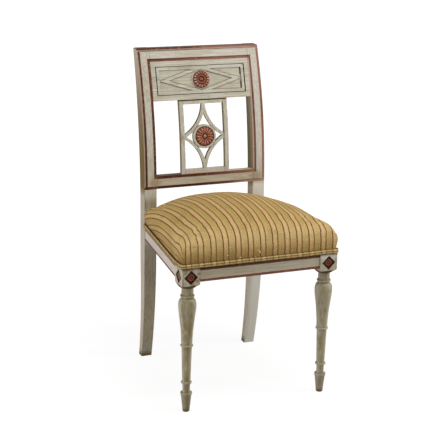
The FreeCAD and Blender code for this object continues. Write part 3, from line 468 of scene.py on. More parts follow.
@dataclass(frozen=True)
class StripedCloth:
    """Woven furnishing cloth: olive and tan stripes with thin brown lines between, in millimetres."""

    tan: Colour = colour("#C49E69")
    olive: Colour = colour("#AF9455")
    brown: Colour = colour("#4A1E02")
    cream: Colour = colour("#E6C890")
    # dirt, and also the colour of painted shade low on the seat and on the welt's lower cord
    soiled_and_shade: Colour = colour("#77592A")
    repeat: float = 36.2
    first_line: float = -2.6
    tan_width: float = 15.2
    line_width: float = 3.3
    cord_highlight: float = 0.0
    worn: bool = True
    pulls: tuple[tuple[float, Triple], ...] = (
        (4.0, (-61.9, 1.0, 432.6)), (2.8, (-54.8, 1.0, 441.6)), (2.8, (-98.6, 1.0, 451.6)),
        (3.8, (-98.4, 1.0, 441.8)), (3.0, (-72.2, 1.0, 437.8)), (3.2, (-17.8, 1.0, 430.9)))
    stains: tuple[tuple[float, Triple], ...] = (
        (3.4, (-0.4, 1.0, 443.6)), (4.6, (3.7, 22.8, 510.2)), (3.2, (-123.1, 76.2, 517.2)),
        (3.0, (-115.0, 85.5, 519.6)), (3.0, (-110.4, 75.3, 519.1)))

    def stripes(self, painter: Painter, across: Value) -> Value:
        """The colour at a distance across the cloth.

        The distance is folded into one repeat; the tan stripe lies from nought to its width, with
        a brown line on each of its edges, and two faint pale lines lie in the olive one.

        Args:
            painter: The material's painter.
            across: The distance, in millimetres.

        Returns:
            The colour.
        """
        # a hundred whole repeats keep the number above nought
        turns = (across - self.first_line) / self.repeat + 100.25
        folded = turns.part() * self.repeat - self.repeat / 4
        tan = folded.rise(-0.3, 0.3) * folded.rise(self.tan_width + 0.3, self.tan_width - 0.3)
        pale = folded.near(self.tan_width * 0.45, self.tan_width * 0.4)
        edge = self.line_width / 2
        lines = abs(folded).rise(edge + 0.35, edge - 0.35).most(
            0.9 * abs(folded - self.tan_width).rise(edge + 0.3, edge - 0.4))
        tone = painter.mix(tan, self.olive, self.tan)
        tone = painter.mix(pale * 0.22, tone, self.cream)
        pair = abs(folded - (self.tan_width + self.repeat) / 2).near(4.6, 3.6)
        tone = painter.mix(pair * 0.2, tone, self.cream)
        if self.worn:
            # a painted highlight: paler cream over the front of the seat, centred on its front roll
            _, y, z = painter.axes()
            tone = painter.mix(z.near(482.0, 48.0) * y.rise(150.0, 60.0) * 0.4, tone, self.cream)
        return painter.mix(lines * 0.96, tone, self.brown)

    def wear(self, painter: Painter, tone: Value) -> Value:
        """Painted shade with cloudy dirt towards the lower edge, a painted shadow in a band just above
        the welt, a pulled thread with its hole, and pale and brown spots.

        Each spot fades out over its reach. The thread bends like a parabola from a height of 439.3
        over 9 millimetres.

        Args:
            painter: The material's painter.
            tone: The colour so far.

        Returns:
            The colour with the marks over it.
        """
        x, y, z = painter.axes()
        cloud = painter.cloud(60.0, 12.0, 3.0)
        # darker towards the lower edge and on the left, cloudy: painted shade with dirt in it
        low = z.rise(486.0, 430.0) * (0.45 + 0.9 * cloud)
        to_left = 0.62 - 0.3 * x.rise(-150.0, 200.0)
        tone = painter.mix(low * to_left * y.rise(60.0, 20.0), tone, self.soiled_and_shade)
        tone = painter.mix(low * 0.3 * y.rise(20.0, 60.0), tone, self.soiled_and_shade)
        # painted shadow: a dark band where the cover meets the welt
        tone = painter.mix(z.rise(431.0, 427.0) * 0.6, tone, self.brown)
        for reach, spot in self.pulls:
            tone = painter.mix(painter.away(*spot).rise(reach, 0.5 * reach) * 0.8, tone, self.cream)
        run = (z - 439.3) / 9.0
        thread = abs(x + 3.3 + 6.2 * run * run).rise(2.2, 1.0)
        thread = thread * run.rise(-0.05, 0.08) * run.rise(1.08, 0.95)
        tone = painter.mix(thread * y.rise(8.0, 5.0), tone, self.cream)
        for reach, spot in self.stains:
            tone = painter.mix(painter.away(*spot).rise(reach, 0.4 * reach) * 0.9, tone, self.brown)
        return tone

    def material(self, name: str) -> bpy.types.Material:
        """The cloth: stripes, a fine cross rib, faded and soiled clouds and a soft sheen.

        Args:
            name: The material's name.

        Returns:
            The material.
        """
        painter = Painter(name)
        across, along = painter.along_cloth()
        wander = painter.cloud(22.0, 3.0, 2.0)
        tone = self.stripes(painter, across + (wander - 0.5) * 2.4)
        rib = (along * (2 * math.pi / 0.95)).wave()
        warp = (across * (2 * math.pi / 0.62)).wave()
        slub = painter.noise((60.0, 60.0, 900.0), 6.0, 2.0)
        cloud = painter.cloud(16.0, 8.0, 4.0)
        if self.cord_highlight:
            # on the welt: a painted highlight on the cords' outer faces, painted shade where they face in
            # and between them, and painted shade on the lower cord
            carved = painter.carved()
            tone = painter.mix(carved.rise(0.75, 1.0) * self.cord_highlight, tone, self.cream)
            tone = painter.mix(carved.rise(0.74, 0.4) * 0.9, tone, self.brown)
            _, _, z = painter.axes()
            tone = painter.mix(z.rise(424.5, 421.0) * 0.45, tone, self.soiled_and_shade)
        tone = painter.mix(cloud.rise(0.5, 0.76) * 0.34, tone, self.soiled_and_shade)
        twill = painter.node("ShaderNodeTexNoise", inputs={
            "Vector": painter.node("ShaderNodeMapping", inputs={
                "Vector": painter.node("ShaderNodeTexCoord", output="UV"), "Scale": (420.0, 260.0, 1.0),
                "Rotation": (0.0, 0.0, 0.6)}), "Scale": 1.0, "Detail": 1.0, "Roughness": 0.5})
        tone = painter.mix((0.5 - 0.5 * rib) * 0.12 + slub.rise(0.5, 0.8) * 0.1, tone, self.soiled_and_shade)
        tone = painter.mix(twill.rise(0.5, 0.7) * 0.42, tone, self.soiled_and_shade)
        tone = painter.mix(twill.rise(0.47, 0.3) * 0.28, tone, self.cream)
        if self.worn:
            tone = self.wear(painter, tone)
        weave = 0.5 + 0.3 * rib + 0.14 * warp + 0.25 * (slub - 0.5) + 0.5 * (twill - 0.5)
        painter.relief(weave, 0.13, 0.55)
        return painter.set(Base_Color=tone, Roughness=0.66 + 0.16 * cloud, Specular_IOR_Level=0.1,
                           Sheen_Weight=0.05, Sheen_Roughness=0.4, Sheen_Tint=self.cream)


@dataclass(frozen=True)
class Backing:
    """The cloth and webbing under the seat, of undyed bast fibre."""

    fibre: Colour = colour("#B49868")
    shadow: Colour = colour("#6A5433")
    mark: Colour = colour("#3D3226")

    def material(self, name: str, pitch: float, marked: bool) -> bpy.types.Material:
        """A plain over-and-under weave.

        Args:
            name: The material's name.
            pitch: The width of one thread, in millimetres.
            marked: Whether two dark threads run along it, as on upholsterer's webbing.

        Returns:
            The material.
        """
        painter = Painter(name)
        across, along = painter.along_cloth()
        turn = math.pi / pitch
        weave = 0.5 + 0.5 * (across * turn).wave() * (along * turn).wave()
        slub = painter.cloud(90.0, 2.0, 3.0)
        tone = painter.mix((weave * 0.7 + slub * 0.4).rise(0.15, 0.85), self.shadow, self.fibre)
        if marked:
            lines = abs(abs(across) - 16.0).rise(2.6, 1.6)
            tone = painter.mix(lines * 0.8, tone, self.mark)
        painter.relief(weave, 0.5, 0.8)
        return painter.set(Base_Color=tone, Roughness=0.82 + 0.1 * slub)


@dataclass(frozen=True)
class SawnBeech:
    """Unpainted wood: fine growth lines with short dark flecks."""

    wood: Colour = colour("#B98F62")
    late: Colour = colour("#8E6740")

    def material(self, name: str) -> bpy.types.Material:
        """The finish of the blocks inside the frame.

        Args:
            name: The material's name.

        Returns:
            The material.
        """
        painter = Painter(name)
        rings = painter.noise((12.0, 12.0, 190.0), 5.0, 3.0)
        flecks = painter.noise((60.0, 60.0, 700.0), 8.0, 1.0)
        tone = painter.mix(rings.rise(0.35, 0.65), self.wood, self.late)
        tone = painter.mix(flecks.rise(0.66, 0.74) * 0.6, tone, self.late)
        painter.relief(rings, 0.2)
        return painter.set(Base_Color=tone, Roughness=0.6 + 0.15 * rings)


@dataclass(frozen=True)
class OldSteel:
    """Bare steel with a brown bloom."""

    steel: Colour = colour("#8F8B84")
    bloom: Colour = colour("#4A3526")

    def material(self, name: str, rusty: float) -> bpy.types.Material:
        """The finish of screws and tacks.

        Args:
            name: The material's name.
            rusty: The share that has gone brown.

        Returns:
            The material.
        """
        painter = Painter(name)
        cloud = painter.cloud(500.0, 3.0, 3.0)
        rust = cloud.rise(0.75 - 0.5 * rusty, 0.85 - 0.4 * rusty)
        painter.relief(cloud, 0.05)
        return painter.set(Base_Color=painter.mix(rust, self.steel, self.bloom),
                           Metallic=1.0 - 0.8 * rust, Roughness=0.32 + 0.4 * rust)


class Skin:
    """Gathers grids of points, in millimetres, into one mesh with shared edges."""

    def __init__(self) -> None:
        """Starts empty."""
        self.points: list[np.ndarray] = []
        self.faces: list[list[int]] = []
        self.uvs: list[np.ndarray] = []
        self.marks: list[np.ndarray] = []
        self.count = 0

    def grid(self, points: np.ndarray, uv: np.ndarray | None = None, mark: np.ndarray | None = None,
             turns: bool = False) -> None:
        """Adds quads between the neighbours of a grid.

        Args:
            points: Rows by columns by three, in millimetres.
            uv: Rows by columns by two, in millimetres of cloth.
            mark: Rows by columns, a value kept on each point.
            turns: Whether the last column joins the first.
        """
        rows, columns = points.shape[:2]
        if uv is None:
            uv = np.zeros((rows, columns, 2))
        if mark is None:
            mark = np.zeros((rows, columns))
        number = np.arange(rows * columns).reshape(rows, columns)
        if turns:
            number = np.concatenate([number, number[:, :1]], axis=1)
        corners = np.stack([number[:-1, :-1], number[:-1, 1:], number[1:, 1:], number[1:, :-1]], -1)
        corners = corners.reshape(-1, 4)
        self.points.append(points.reshape(-1, 3))
        self.marks.append(mark.reshape(-1))
        self.uvs.append(uv.reshape(-1, 2)[corners].reshape(-1, 2))
        self.faces += (corners + self.count).tolist()
        self.count += rows * columns

    def cap(self, loop: np.ndarray) -> None:
        """Closes a loop of points with one flat face.

        Args:
            loop: The points in order.
        """
        size = len(loop)
        self.points.append(loop)
        self.marks.append(np.zeros(size))
        self.uvs.append(np.zeros((size, 2)))
        self.faces.append(list(range(self.count, self.count + size)))
        self.count += size

    def piece(self, name: str, material: bpy.types.Material, crease: float = 40.0) -> bpy.types.Object:
        """Makes the object, at the origin.

        Args:
            name: Its name.
            material: Its material.
            crease: Edges that turn by more than this many degrees stay sharp.

        Returns:
            The object, with its points merged and its faces pointing outwards.
        """
        mesh = bpy.data.meshes.new(name)
        place = np.concatenate(self.points) - np.array([0.0, DEPTH_MIDDLE, 0.0])
        mesh.from_pydata((place * MM).tolist(), [], self.faces)
        layer = mesh.uv_layers.new(name="cloth")
        layer.data.foreach_set("uv", (np.concatenate(self.uvs) * MM).astype(np.float32).ravel())
        marks = mesh.attributes.new("carved", "FLOAT", "POINT")
        marks.data.foreach_set("value", np.concatenate(self.marks).astype(np.float32))
        work = bmesh.new()
        work.from_mesh(mesh)
        bmesh.ops.remove_doubles(work, verts=work.verts, dist=0.02 * MM)
        bmesh.ops.recalc_face_normals(work, faces=work.faces)
        work.to_mesh(mesh)
        work.free()
        mesh.polygons.foreach_set("use_smooth", np.ones(len(mesh.polygons), bool))
        mesh.set_sharp_from_angle(angle=math.radians(crease))
        mesh.materials.append(material)
        LOG.info("%s: %d faces", name, len(mesh.polygons))
        return put(name, mesh)


def put(name: str, data: bpy.types.ID) -> bpy.types.Object:
    """Makes an object and shows it in the scene.

    Args:
        name: Its name.
        data: Its mesh, lamp or camera.

    Returns:
        The object.
    """
    made = bpy.data.objects.new(name, data)
    bpy.context.scene.collection.objects.link(made)
    return made


def settle(piece: bpy.types.Object, slot: str, *nodes: str) -> bpy.types.Object:
    """Lets a piece ride on the chair and lets it stand for nodes.

    Args:
        piece: The finished piece.
        slot: Not used.
        nodes: The nodes that it replaces.

    Returns:
        The piece.
    """
    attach(piece, "root")
    if nodes:
        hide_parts(*nodes)
    return piece


def shaped(piece: bpy.types.Object) -> bpy.types.Mesh:
    """A new mesh of a piece as its modifiers leave it."""
    return bpy.data.meshes.new_from_object(piece.evaluated_get(bpy.context.evaluated_depsgraph_get()))


def vectors(mesh: bpy.types.Mesh, kind: str = "co") -> np.ndarray:
    """The places of a mesh's points, in metres, or their normals.

    Args:
        mesh: The mesh.
        kind: Co for the places, normal for the normals.

    Returns:
        Points by three.
    """
    values = np.zeros(len(mesh.vertices) * 3)
    mesh.vertices.foreach_get(kind, values)
    return values.reshape(-1, 3)


def move_to(mesh: bpy.types.Mesh, places: np.ndarray) -> None:
    """Moves a mesh's points to new places, in metres."""
    mesh.vertices.foreach_set("co", places.astype(np.float32).ravel())
    mesh.update()


def ramp(value: np.ndarray, start: float, reach: float) -> np.ndarray:
    """Nought up to start, one from reach further on, and straight between."""
    return np.clip((value - start) / reach, 0, 1)


def bell(distance: np.ndarray, reach: float) -> np.ndarray:
    """One at nought, falling on both sides: e to minus the square of distance over reach."""
    return np.exp(-(distance / reach) ** 2)


def smooth(share: np.ndarray) -> np.ndarray:
    """A smooth step: three times the share's square less twice its cube, between nought and one."""
    share = np.clip(share, 0, 1)
    return share ** 2 * (3 - 2 * share)


def rim(grid: np.ndarray) -> np.ndarray:
    """The points round the edge of a grid, once about."""
    return np.concatenate([grid[0], grid[1:, -1], grid[-1, -2::-1], grid[-2:0:-1, 0]])


def running(points: np.ndarray) -> np.ndarray:
    """The distance along lines of points, from the first one of each.

    Args:
        points: The lines, with the points along the last axis but one.

    Returns:
        The distances, with that axis last.
    """
    steps = np.linalg.norm(np.diff(points, axis=-2), axis=-1)
    start = np.zeros(steps.shape[:-1] + (1,))
    return np.concatenate([start, np.cumsum(steps, axis=-1)], axis=-1)


def waves(*places: np.ndarray, seed: int, count: int = 5, finest: float = 60.0) -> np.ndarray:
    """Smooth random ripples: a sum of sines with seeded directions, lengths and shifts.

    Args:
        places: The coordinates, in millimetres, that the ripples run over.
        seed: Fixes the result.
        count: How many sines are added.
        finest: The shortest wave, in millimetres; the longest is three times that.

    Returns:
        Values of about minus one to one.
    """
    chance = np.random.default_rng(seed)
    total = np.zeros(np.broadcast(*places).shape)
    for _ in range(count):
        length = finest * chance.uniform(1.0, 3.0)
        way = chance.normal(size=len(places))
        way /= np.linalg.norm(way)
        run = sum(part * place for part, place in zip(way, places))
        total = total + np.sin(2 * math.pi * run / length + chance.uniform(0, 2 * math.pi))
    return total / math.sqrt(count)


def quarter(distance: np.ndarray, reach: float) -> np.ndarray:
    """A quarter round: one at the edge, nought from reach on, one less the circle's height between."""
    run = np.clip(1 - distance / reach, 0, 1)
    return 1 - np.sqrt(1 - run ** 2)


@dataclass
class ChairSizes:
    """What several sub-assemblies share, in millimetres, with Y from the leg blocks' front faces."""

    front_width: float = 460.0
    back_width: float = 381.0
    depth: float = 411.0
    block: float = 52.0
    leg_across: float = 204.0
    diamond_height: float = 391.0
    rebate: float = 4.0
    rear: float = 438.0
    inner_half: float = 153.5
    clear: float = 0.3

    def side(self, y: np.ndarray) -> np.ndarray:
        """Half the width between the blocks' outer faces, narrowing evenly to the back."""
        taper = (self.front_width - self.back_width) / 2 / (self.depth - self.block)
        return np.minimum(self.front_width / 2, self.front_width / 2 - taper * (y - self.block))


@dataclass
class BackShape(ChairSizes):
    """The curve of the back frame, an arc that leaves the upright legs behind. In millimetres."""

    start: float = 510.0
    top: float = 930.5
    rake: float = 79.0
    bottom: float = 530.5
    inner_bottom: float = 568.0
    inner_top: float = 893.0
    tablet_bottom: float = 782.695

    @property
    def outer_half(self) -> float:
        """Half the width over the uprights."""
        return self.back_width / 2

    def radius(self) -> float:
        """The arc's radius, from its height and sweep."""
        rise = self.top - self.start
        return (rise ** 2 + self.rake ** 2) / (2 * self.rake)

    def carry(self, local: np.ndarray, height: float, sink: float, proud: float) -> np.ndarray:
        """Carries points of a carving that faces up to its place on the back.

        The local X stays across, the local Y runs up the slope, and the local Z stands forward
        along the slope's own direction at that height.

        Args:
            local: Points, in millimetres.
            height: The height of the place, in millimetres.
            sink: How far the face lies behind the frame's surface.
            proud: How far in front of that face the carving's back stands.

        Returns:
            The points in their place.
        """
        rise = height - self.start
        lean = math.asin(rise / self.radius())
        depth = self.depth + self.radius() - math.sqrt(self.radius() ** 2 - rise ** 2) + sink
        up = np.array([0.0, math.sin(lean), math.cos(lean)])
        out = np.array([0.0, -math.cos(lean), math.sin(lean)])
        across = local[..., :1] * np.array([1.0, 0.0, 0.0])
        return (across + local[..., 1:2] * up + (local[..., 2:3] + proud) * out
                + np.array([0.0, depth, height]))


@dataclass
class Rosette:
    """A round of rounded petals about a button, carved in one disc. In millimetres."""

    name: str
    node: str
    radius: float
    rise: float
    height: float
    sink: float
    proud: float
    petals: int = 16
    button: float = 5.2
    moat: float = 2.6
    collar: float = 0.0
    eye: float = 1.3
    foot: float = 1.3
    floor_sink: float = 4.4

    @property
    def edge(self) -> float:
        """Where the petals start, from the middle."""
        return self.button + self.moat

    def heights(self, ring: np.ndarray, angle: np.ndarray) -> np.ndarray:
        """The height of the carving.

        From the moat to the rim each petal swells to a crest and falls to its tip; across a petal
        the height is the root of a cosine, so that the petals are round and the veins sharp. The
        button is a dome with a small pit.

        Args:
            ring: Distance from the middle.
            angle: Direction from the middle, in radians.

        Returns:
            Heights over the disc's back.
        """
        out = ramp(ring, self.edge, self.radius - self.edge)
        outer = ramp(out, self.collar, 1 - self.collar)
        swell = np.sin(math.pi * np.clip(0.16 + 0.84 * outer ** 1.25, 0, 1) ** 0.8) ** 0.62
        swell = swell * (out >= self.collar)
        dish = 0.0 * out
        if self.collar:
            dish = 0.7 * np.sin(math.pi * np.clip(out / self.collar, 0, 1) ** 0.8) ** 0.5
        across = np.abs(np.cos(self.petals * angle / 2)) ** 0.55
        flute = np.where(out < self.collar, 0.3, 0.82)
        petal = self.foot + (self.rise - self.foot) * np.maximum(swell, dish) * (1 - flute * (1 - across))
        dome = self.rise * 0.9 * np.sqrt(np.clip(1 - (ring / self.button) ** 2 * 0.72, 0, 1))
        dome = dome - 1.5 * bell(ring, 1.5)
        floor = self.rise - self.floor_sink
        inside, outside = ramp(ring, self.button, 0.5), ramp(ring, self.edge, 0.7)
        return np.where(ring < self.button + 0.25, dome * (1 - inside) + floor * inside,
                        floor * (1 - outside) + np.maximum(petal, floor) * outside)

    def make(self, back: BackShape, material: bpy.types.Material) -> bpy.types.Object:
        """Builds the carving and stands it in for its solid.

        Args:
            back: The curve that it sits on.
            material: Its finish.

        Returns:
            The piece.
        """
        rings = np.concatenate([np.linspace(0, self.button, 9), [self.button + 0.3, self.button + 0.6],
                                np.linspace(self.edge - 0.4, self.edge + 0.8, 4),
                                np.linspace(self.edge + 1.4, self.radius, 22)])
        angle = np.linspace(0, 2 * math.pi, self.petals * 12, endpoint=False)
        ring, turn = np.meshgrid(rings, angle, indexing="ij")
        lobe = np.abs(np.cos(self.petals * turn / 2)) ** 0.6
        out = ramp(ring, self.edge, self.radius - self.edge)
        scallop = 1 - 0.055 * (1 - lobe) * out ** 2
        high = self.heights(ring, turn)
        local = np.stack([ring * scallop * np.cos(turn), ring * scallop * np.sin(turn), high], -1)
        # the mark sets the paint: painted shade in the hollows, and a painted highlight added on the
        # petals' outer tips
        mark = ramp(high / self.rise, 0.3, 0.7) + 0.25 * (out > 0.55) * lobe ** 3
        mark = np.where(out < self.collar, mark * 0.8, mark)
        mark = np.where(ring < self.button, self.eye * np.clip(ring / 2.2, 0.3, 1), mark)
        foot = local[-1:].copy()
        foot[..., 2] = 0
        middle = np.zeros_like(foot)
        skin = Skin()
        for grid, values in ((local, mark), (np.concatenate([local[-1:], foot, middle]),
                                             np.concatenate([mark[-1:], 0 * mark[-2:]]))):
            skin.grid(back.carry(grid, self.height, self.sink, self.proud), mark=values, turns=True)
        return settle(skin.piece(self.name, material, 50.0), "red_brown_paint", self.node)


@dataclass
class Diamond(ChairSizes):
    """A carved flower with four leaves in a diamond, let into a leg block. In millimetres.

    Its hand is one on the right leg and minus one on the left.
    """

    hand: int = 1
    on_front: bool = True
    half: float = 19.2
    recess: float = 3.2
    boss: float = 3.7
    ring_inside: float = 5.1
    ring_width: float = 4.6
    leaf_start: float = 9.5

    def name(self) -> str:
        """The name of the node that it stands for."""
        face = "front" if self.on_front else "side"
        return f"diamond_{face}_{'right' if self.hand > 0 else 'left'}"

    def heights(self, across: np.ndarray, up: np.ndarray) -> np.ndarray:
        """The height of the carving over its recess.

        A narrow border, then a sunk ground; a ring of eight lobes about a moat and a pitted boss
        stands in the middle, and a ribbed leaf runs from it into each corner.

        Args:
            across: Distance from the middle, sideways.
            up: Distance from the middle, upwards.

        Returns:
            Heights, in millimetres.
        """
        ring = np.hypot(across, up)
        angle = np.arctan2(up, across)
        edge = self.half - np.abs(across) - np.abs(up)
        border = 0.9 * ramp(edge, 2.6, 0.8)
        lobe = 0.7 + 0.3 * np.abs(np.cos(4 * angle)) ** 0.7
        petal = lobe * np.sin(math.pi * ramp(ring, self.ring_inside, self.ring_width)) ** 0.7
        eye = 2.2 * np.sqrt(np.clip(1 - (ring / self.boss) ** 2, 0, 1)) - 1.0 * bell(ring, 1.1)
        to_axis = np.minimum(np.abs(across), np.abs(up))
        out = np.maximum(np.abs(across), np.abs(up))
        leaf_width = np.clip((self.half - 4.5 - out) * 0.42, 0.05, 3.0)
        leaf = np.clip(1 - (to_axis / leaf_width) ** 2, 0, 1) * ramp(out, self.leaf_start, 1.5)
        leaf = leaf * np.clip((self.half - 4.2 - out) / 2, 0, 1)
        rib = 1 - 0.35 * bell(to_axis, 0.45)
        return 0.3 + np.maximum.reduce([0.8 * border, 2.2 * petal, eye, 1.7 * leaf * rib])

    def make(self, material: bpy.types.Material) -> bpy.types.Object:
        """Builds the carving in its recess and stands it in for its solid.

        Args:
            material: Its finish.

        Returns:
            The piece.
        """
        steps = np.linspace(-1, 1, 61)
        first, second = np.meshgrid(steps, steps, indexing="ij")
        across = self.half * (first + second) / 2
        up = self.half * (first - second) / 2
        high = self.heights(across, up)
        # the mark sets the paint: painted shade in the border groove, a darker ground, and a painted
        # highlight on the ring, the boss and the leaves
        mark = ramp(high, 0.75, 1.75)
        front = self.set_in(across, up, high)
        foot = rim(self.set_in(across, up, 0 * high))
        skin = Skin()
        skin.grid(front, mark=mark)
        skin.grid(np.stack([rim(front), foot]), turns=True)
        skin.cap(foot)
        piece = skin.piece(self.name() + "_carving", material, 55.0)
        return settle(piece, "red_brown_paint", self.name())

    def set_in(self, across: np.ndarray, up: np.ndarray, high: np.ndarray) -> np.ndarray:
        """Places a height over the recess's floor on the block's front or outer face.

        Args:
            across: Distance from the middle, sideways.
            up: Distance from the middle, upwards.
            high: Height over the floor.

        Returns:
            The points.
        """
        up = self.diamond_height + up
        if self.on_front:
            return np.stack([self.hand * self.leg_across + across, self.recess - high, up], -1)
        outer = self.leg_across + self.block / 2 - self.recess
        return np.stack([self.hand * (outer + high), self.block / 2 + across, up], -1)


@dataclass
class Seat(ChairSizes):
    """The stuffed seat under its striped cover, one crowned form that laps down over the rails."""

    cover: float = 1.5
    crown: float = 537.4
    crown_place: float = 200.0
    fall_back: float = 33.0
    cross_fall: float = 29.5
    cross_lift: float = 38.0
    cross_reach: float = 140.0
    front_roll: float = 40.0
    front_drop: float = 42.0
    back_roll: float = 28.0
    back_drop: float = 30.0
    shoulder: float = 38.0
    shoulder_loss: float = 14.0
    end_flatten: float = 0.6
    bulge: float = 4.4
    bulge_start: float = 433.0
    corner: float = 4.0
    skirt_low: float = 418.5
    pad_low: float = 444.6
    held_low: float = 444.0
    hem_fold: float = 1.2
    stuffing_inset: float = 3.0
    stuffing_low: float = 452.0
    swell_cap: float = 3.5
    swell_run: float = 26.0
    voxel: float = 6.0
    frames: int = 20
    upright_cut: Triple = (162.0, 404.0, 500.0)
    ripple: float = 0.45
    tack_depth: float = 0.5
    tack_pitch: float = 24.0
    pucker: float = 0.7
    corner_fold: float = 0.9
    tuck: float = 3.5
    columns: tuple[int, int, int, int] = (34, 11, 8, 6)

    def stations(self, grow: float) -> np.ndarray:
        """Places from front to back: close together round both rolls and at the uprights.

        Args:
            grow: How far outside the stuffing the surface lies.

        Returns:
            The places, with two rows a hair apart where the uprights' front faces cut in.
        """
        start, end = self.rebate - grow, self.rear + grow
        front = start + self.front_roll * (1 - np.cos(np.linspace(0, math.pi / 2, 18)))
        run = np.linspace(front[-1], self.depth - 0.7, 66)[1:]
        step = np.array([self.depth - 0.4, self.depth - self.clear + 0.05])
        back = end - self.back_roll * (1 - np.cos(np.linspace(0, 1.45, 12)[::-1]))
        back = back[(back > step[-1] + 1) & (back < end - 1.6)]
        return np.concatenate([front, run, step, back, [end - 1.2, end]])

    def profile(self, y: np.ndarray, grow: float) -> np.ndarray:
        """Right halves of the sections at places from front to back.

        The crown is a parabola from the middle to a ridge, the shoulder a quarter of an ellipse,
        the side a bowed line down to where it meets the rail, and the skirt is upright. Front and
        back rolls sink the crown by a quarter round.

        Args:
            y: The places.
            grow: How far outside the stuffing the surface lies.

        Returns:
            Places by columns by two, X and Z, from the middle outwards.
        """
        crown_n, shoulder_n, bulge_n, skirt_n = self.columns
        y = y[:, None]
        inside = y - self.rebate + grow
        front_sink = quarter(inside, self.front_roll)
        back_sink = quarter(self.rear + grow - y, self.back_roll)
        fall_back = self.fall_back * ((y - self.crown_place) / (self.depth - self.crown_place)) ** 2
        top = self.crown - fall_back + grow - self.front_drop * front_sink - self.back_drop * back_sink
        lift = self.cross_lift * quarter(inside, self.cross_reach)
        fall = (self.cross_fall - lift) * (1 - back_sink / 2)
        half = self.side(y) - self.rebate + grow - self.corner * quarter(inside, self.corner)
        shrink = 1 - self.end_flatten * np.maximum(front_sink, back_sink)
        roll = self.shoulder * shrink
        ridge = half + self.bulge - roll
        brow = top - fall
        side_top = brow - (self.shoulder - self.shoulder_loss * y / self.depth) * shrink
        out = np.linspace(0, 1, crown_n)[None, :]
        turn = np.linspace(0, math.pi / 2, shoulder_n + 1)[None, 1:]
        down = np.linspace(1, 0, bulge_n + 1)[None, 1:]
        drop = np.linspace(0, 1, skirt_n + 1)[None, 1:]
        low = self.bulge_start
        x = np.concatenate([ridge * out, ridge + roll * np.sin(turn),
                            half + self.bulge * (1.88 * down - 0.88 * down ** 2), half + 0 * drop], 1)
        skirt = low + (self.skirt_low - low) * drop + 0 * half
        z = np.concatenate([top - fall * out ** 2, side_top + (brow - side_top) * np.cos(turn),
                            low + (side_top - low) * down, skirt], 1)
        return np.stack([x, z], -1)

    def surface(self, grow: float, skirted: bool) -> tuple[np.ndarray, np.ndarray]:
        """The whole upper surface, cut in round the two uprights.

        Behind the uprights' front faces, what would lie outside their inner faces stands against
        them instead, as a wall that goes down by the same share of its run.

        Args:
            grow: How far outside the stuffing the surface lies.
            skirted: Whether it laps down over the rails, or ends flat for stuffing it.

        Returns:
            Points, rows by columns by three from left to right, and their UV.
        """
        y = self.stations(grow)
        section = self.profile(y, grow)
        run = running(section)
        low = np.full(len(y), self.skirt_low if skirted else self.held_low)
        low[(y > self.depth - 0.45) & (y < self.rear + grow - 0.5)] = self.held_low
        wall = self.inner_half - self.clear
        behind = (y > self.depth - self.clear)[:, None]
        crown = section[:, :self.columns[0]]
        meets = np.array([np.interp(wall, row[:, 0], along[:len(row)])
                          for row, along in zip(crown, run)])[:, None]
        brow = np.array([np.interp(wall, row[:, 0], row[:, 1]) for row in crown])[:, None]
        share = np.clip((run - meets) / (run[:, -1:] - meets), 0, 1)
        outside = behind & (run > meets)
        x = np.where(outside, wall, section[..., 0])
        z = np.where(outside, brow + (low[:, None] - brow) * share, section[..., 1])
        z = np.maximum(z, low[:, None])
        tuck = np.exp(-np.maximum(wall - x, 0) / 5.0) * (y > self.depth - 1)[:, None]
        ahead = np.exp(-np.abs(y[:, None] - self.depth) / 5.0) * (x > wall - 4) * (z > self.pad_low)
        z = np.where(z > self.pad_low + 6, z - self.tuck * np.maximum(tuck, ahead), z)
        right = np.stack([x, np.broadcast_to(y[:, None], x.shape), z], -1)
        left = right[:, :0:-1] * np.array([-1.0, 1.0, 1.0])
        points = np.concatenate([left, right], 1)
        across = np.concatenate([-run[:, :0:-1], run], 1)
        middle = running(np.stack([y, section[:, 0, 1]], -1))
        return points, np.stack([across, np.broadcast_to(middle[:, None], across.shape)], -1)

    def end_panel(self, edge: np.ndarray) -> np.ndarray:
        """Fills the upright panel under the first or last section.

        Points on the two sides at one height are joined by a level row, which bends towards the
        crown's line the nearer it lies to it.

        Args:
            edge: The section's points from left to right.

        Returns:
            Rows by columns by three, the top row first.
        """
        crown_n = self.columns[0]
        sides = (len(edge) - (2 * crown_n - 1)) // 2
        crown = edge[sides:len(edge) - sides]
        spread = (crown[:, 0] - crown[0, 0]) / (crown[-1, 0] - crown[0, 0])
        left, right = edge[sides::-1], edge[len(edge) - sides - 1:]
        share = np.linspace(1, 0, sides + 1)[:, None, None] ** 2
        level = left[:, None] + (right - left)[:, None] * spread[None, :, None]
        bend = np.zeros_like(level)
        bend[..., 2] = (crown[:, 2] - crown[0, 2] * (1 - spread) - crown[-1, 2] * spread)[None, :]
        return level + bend * share

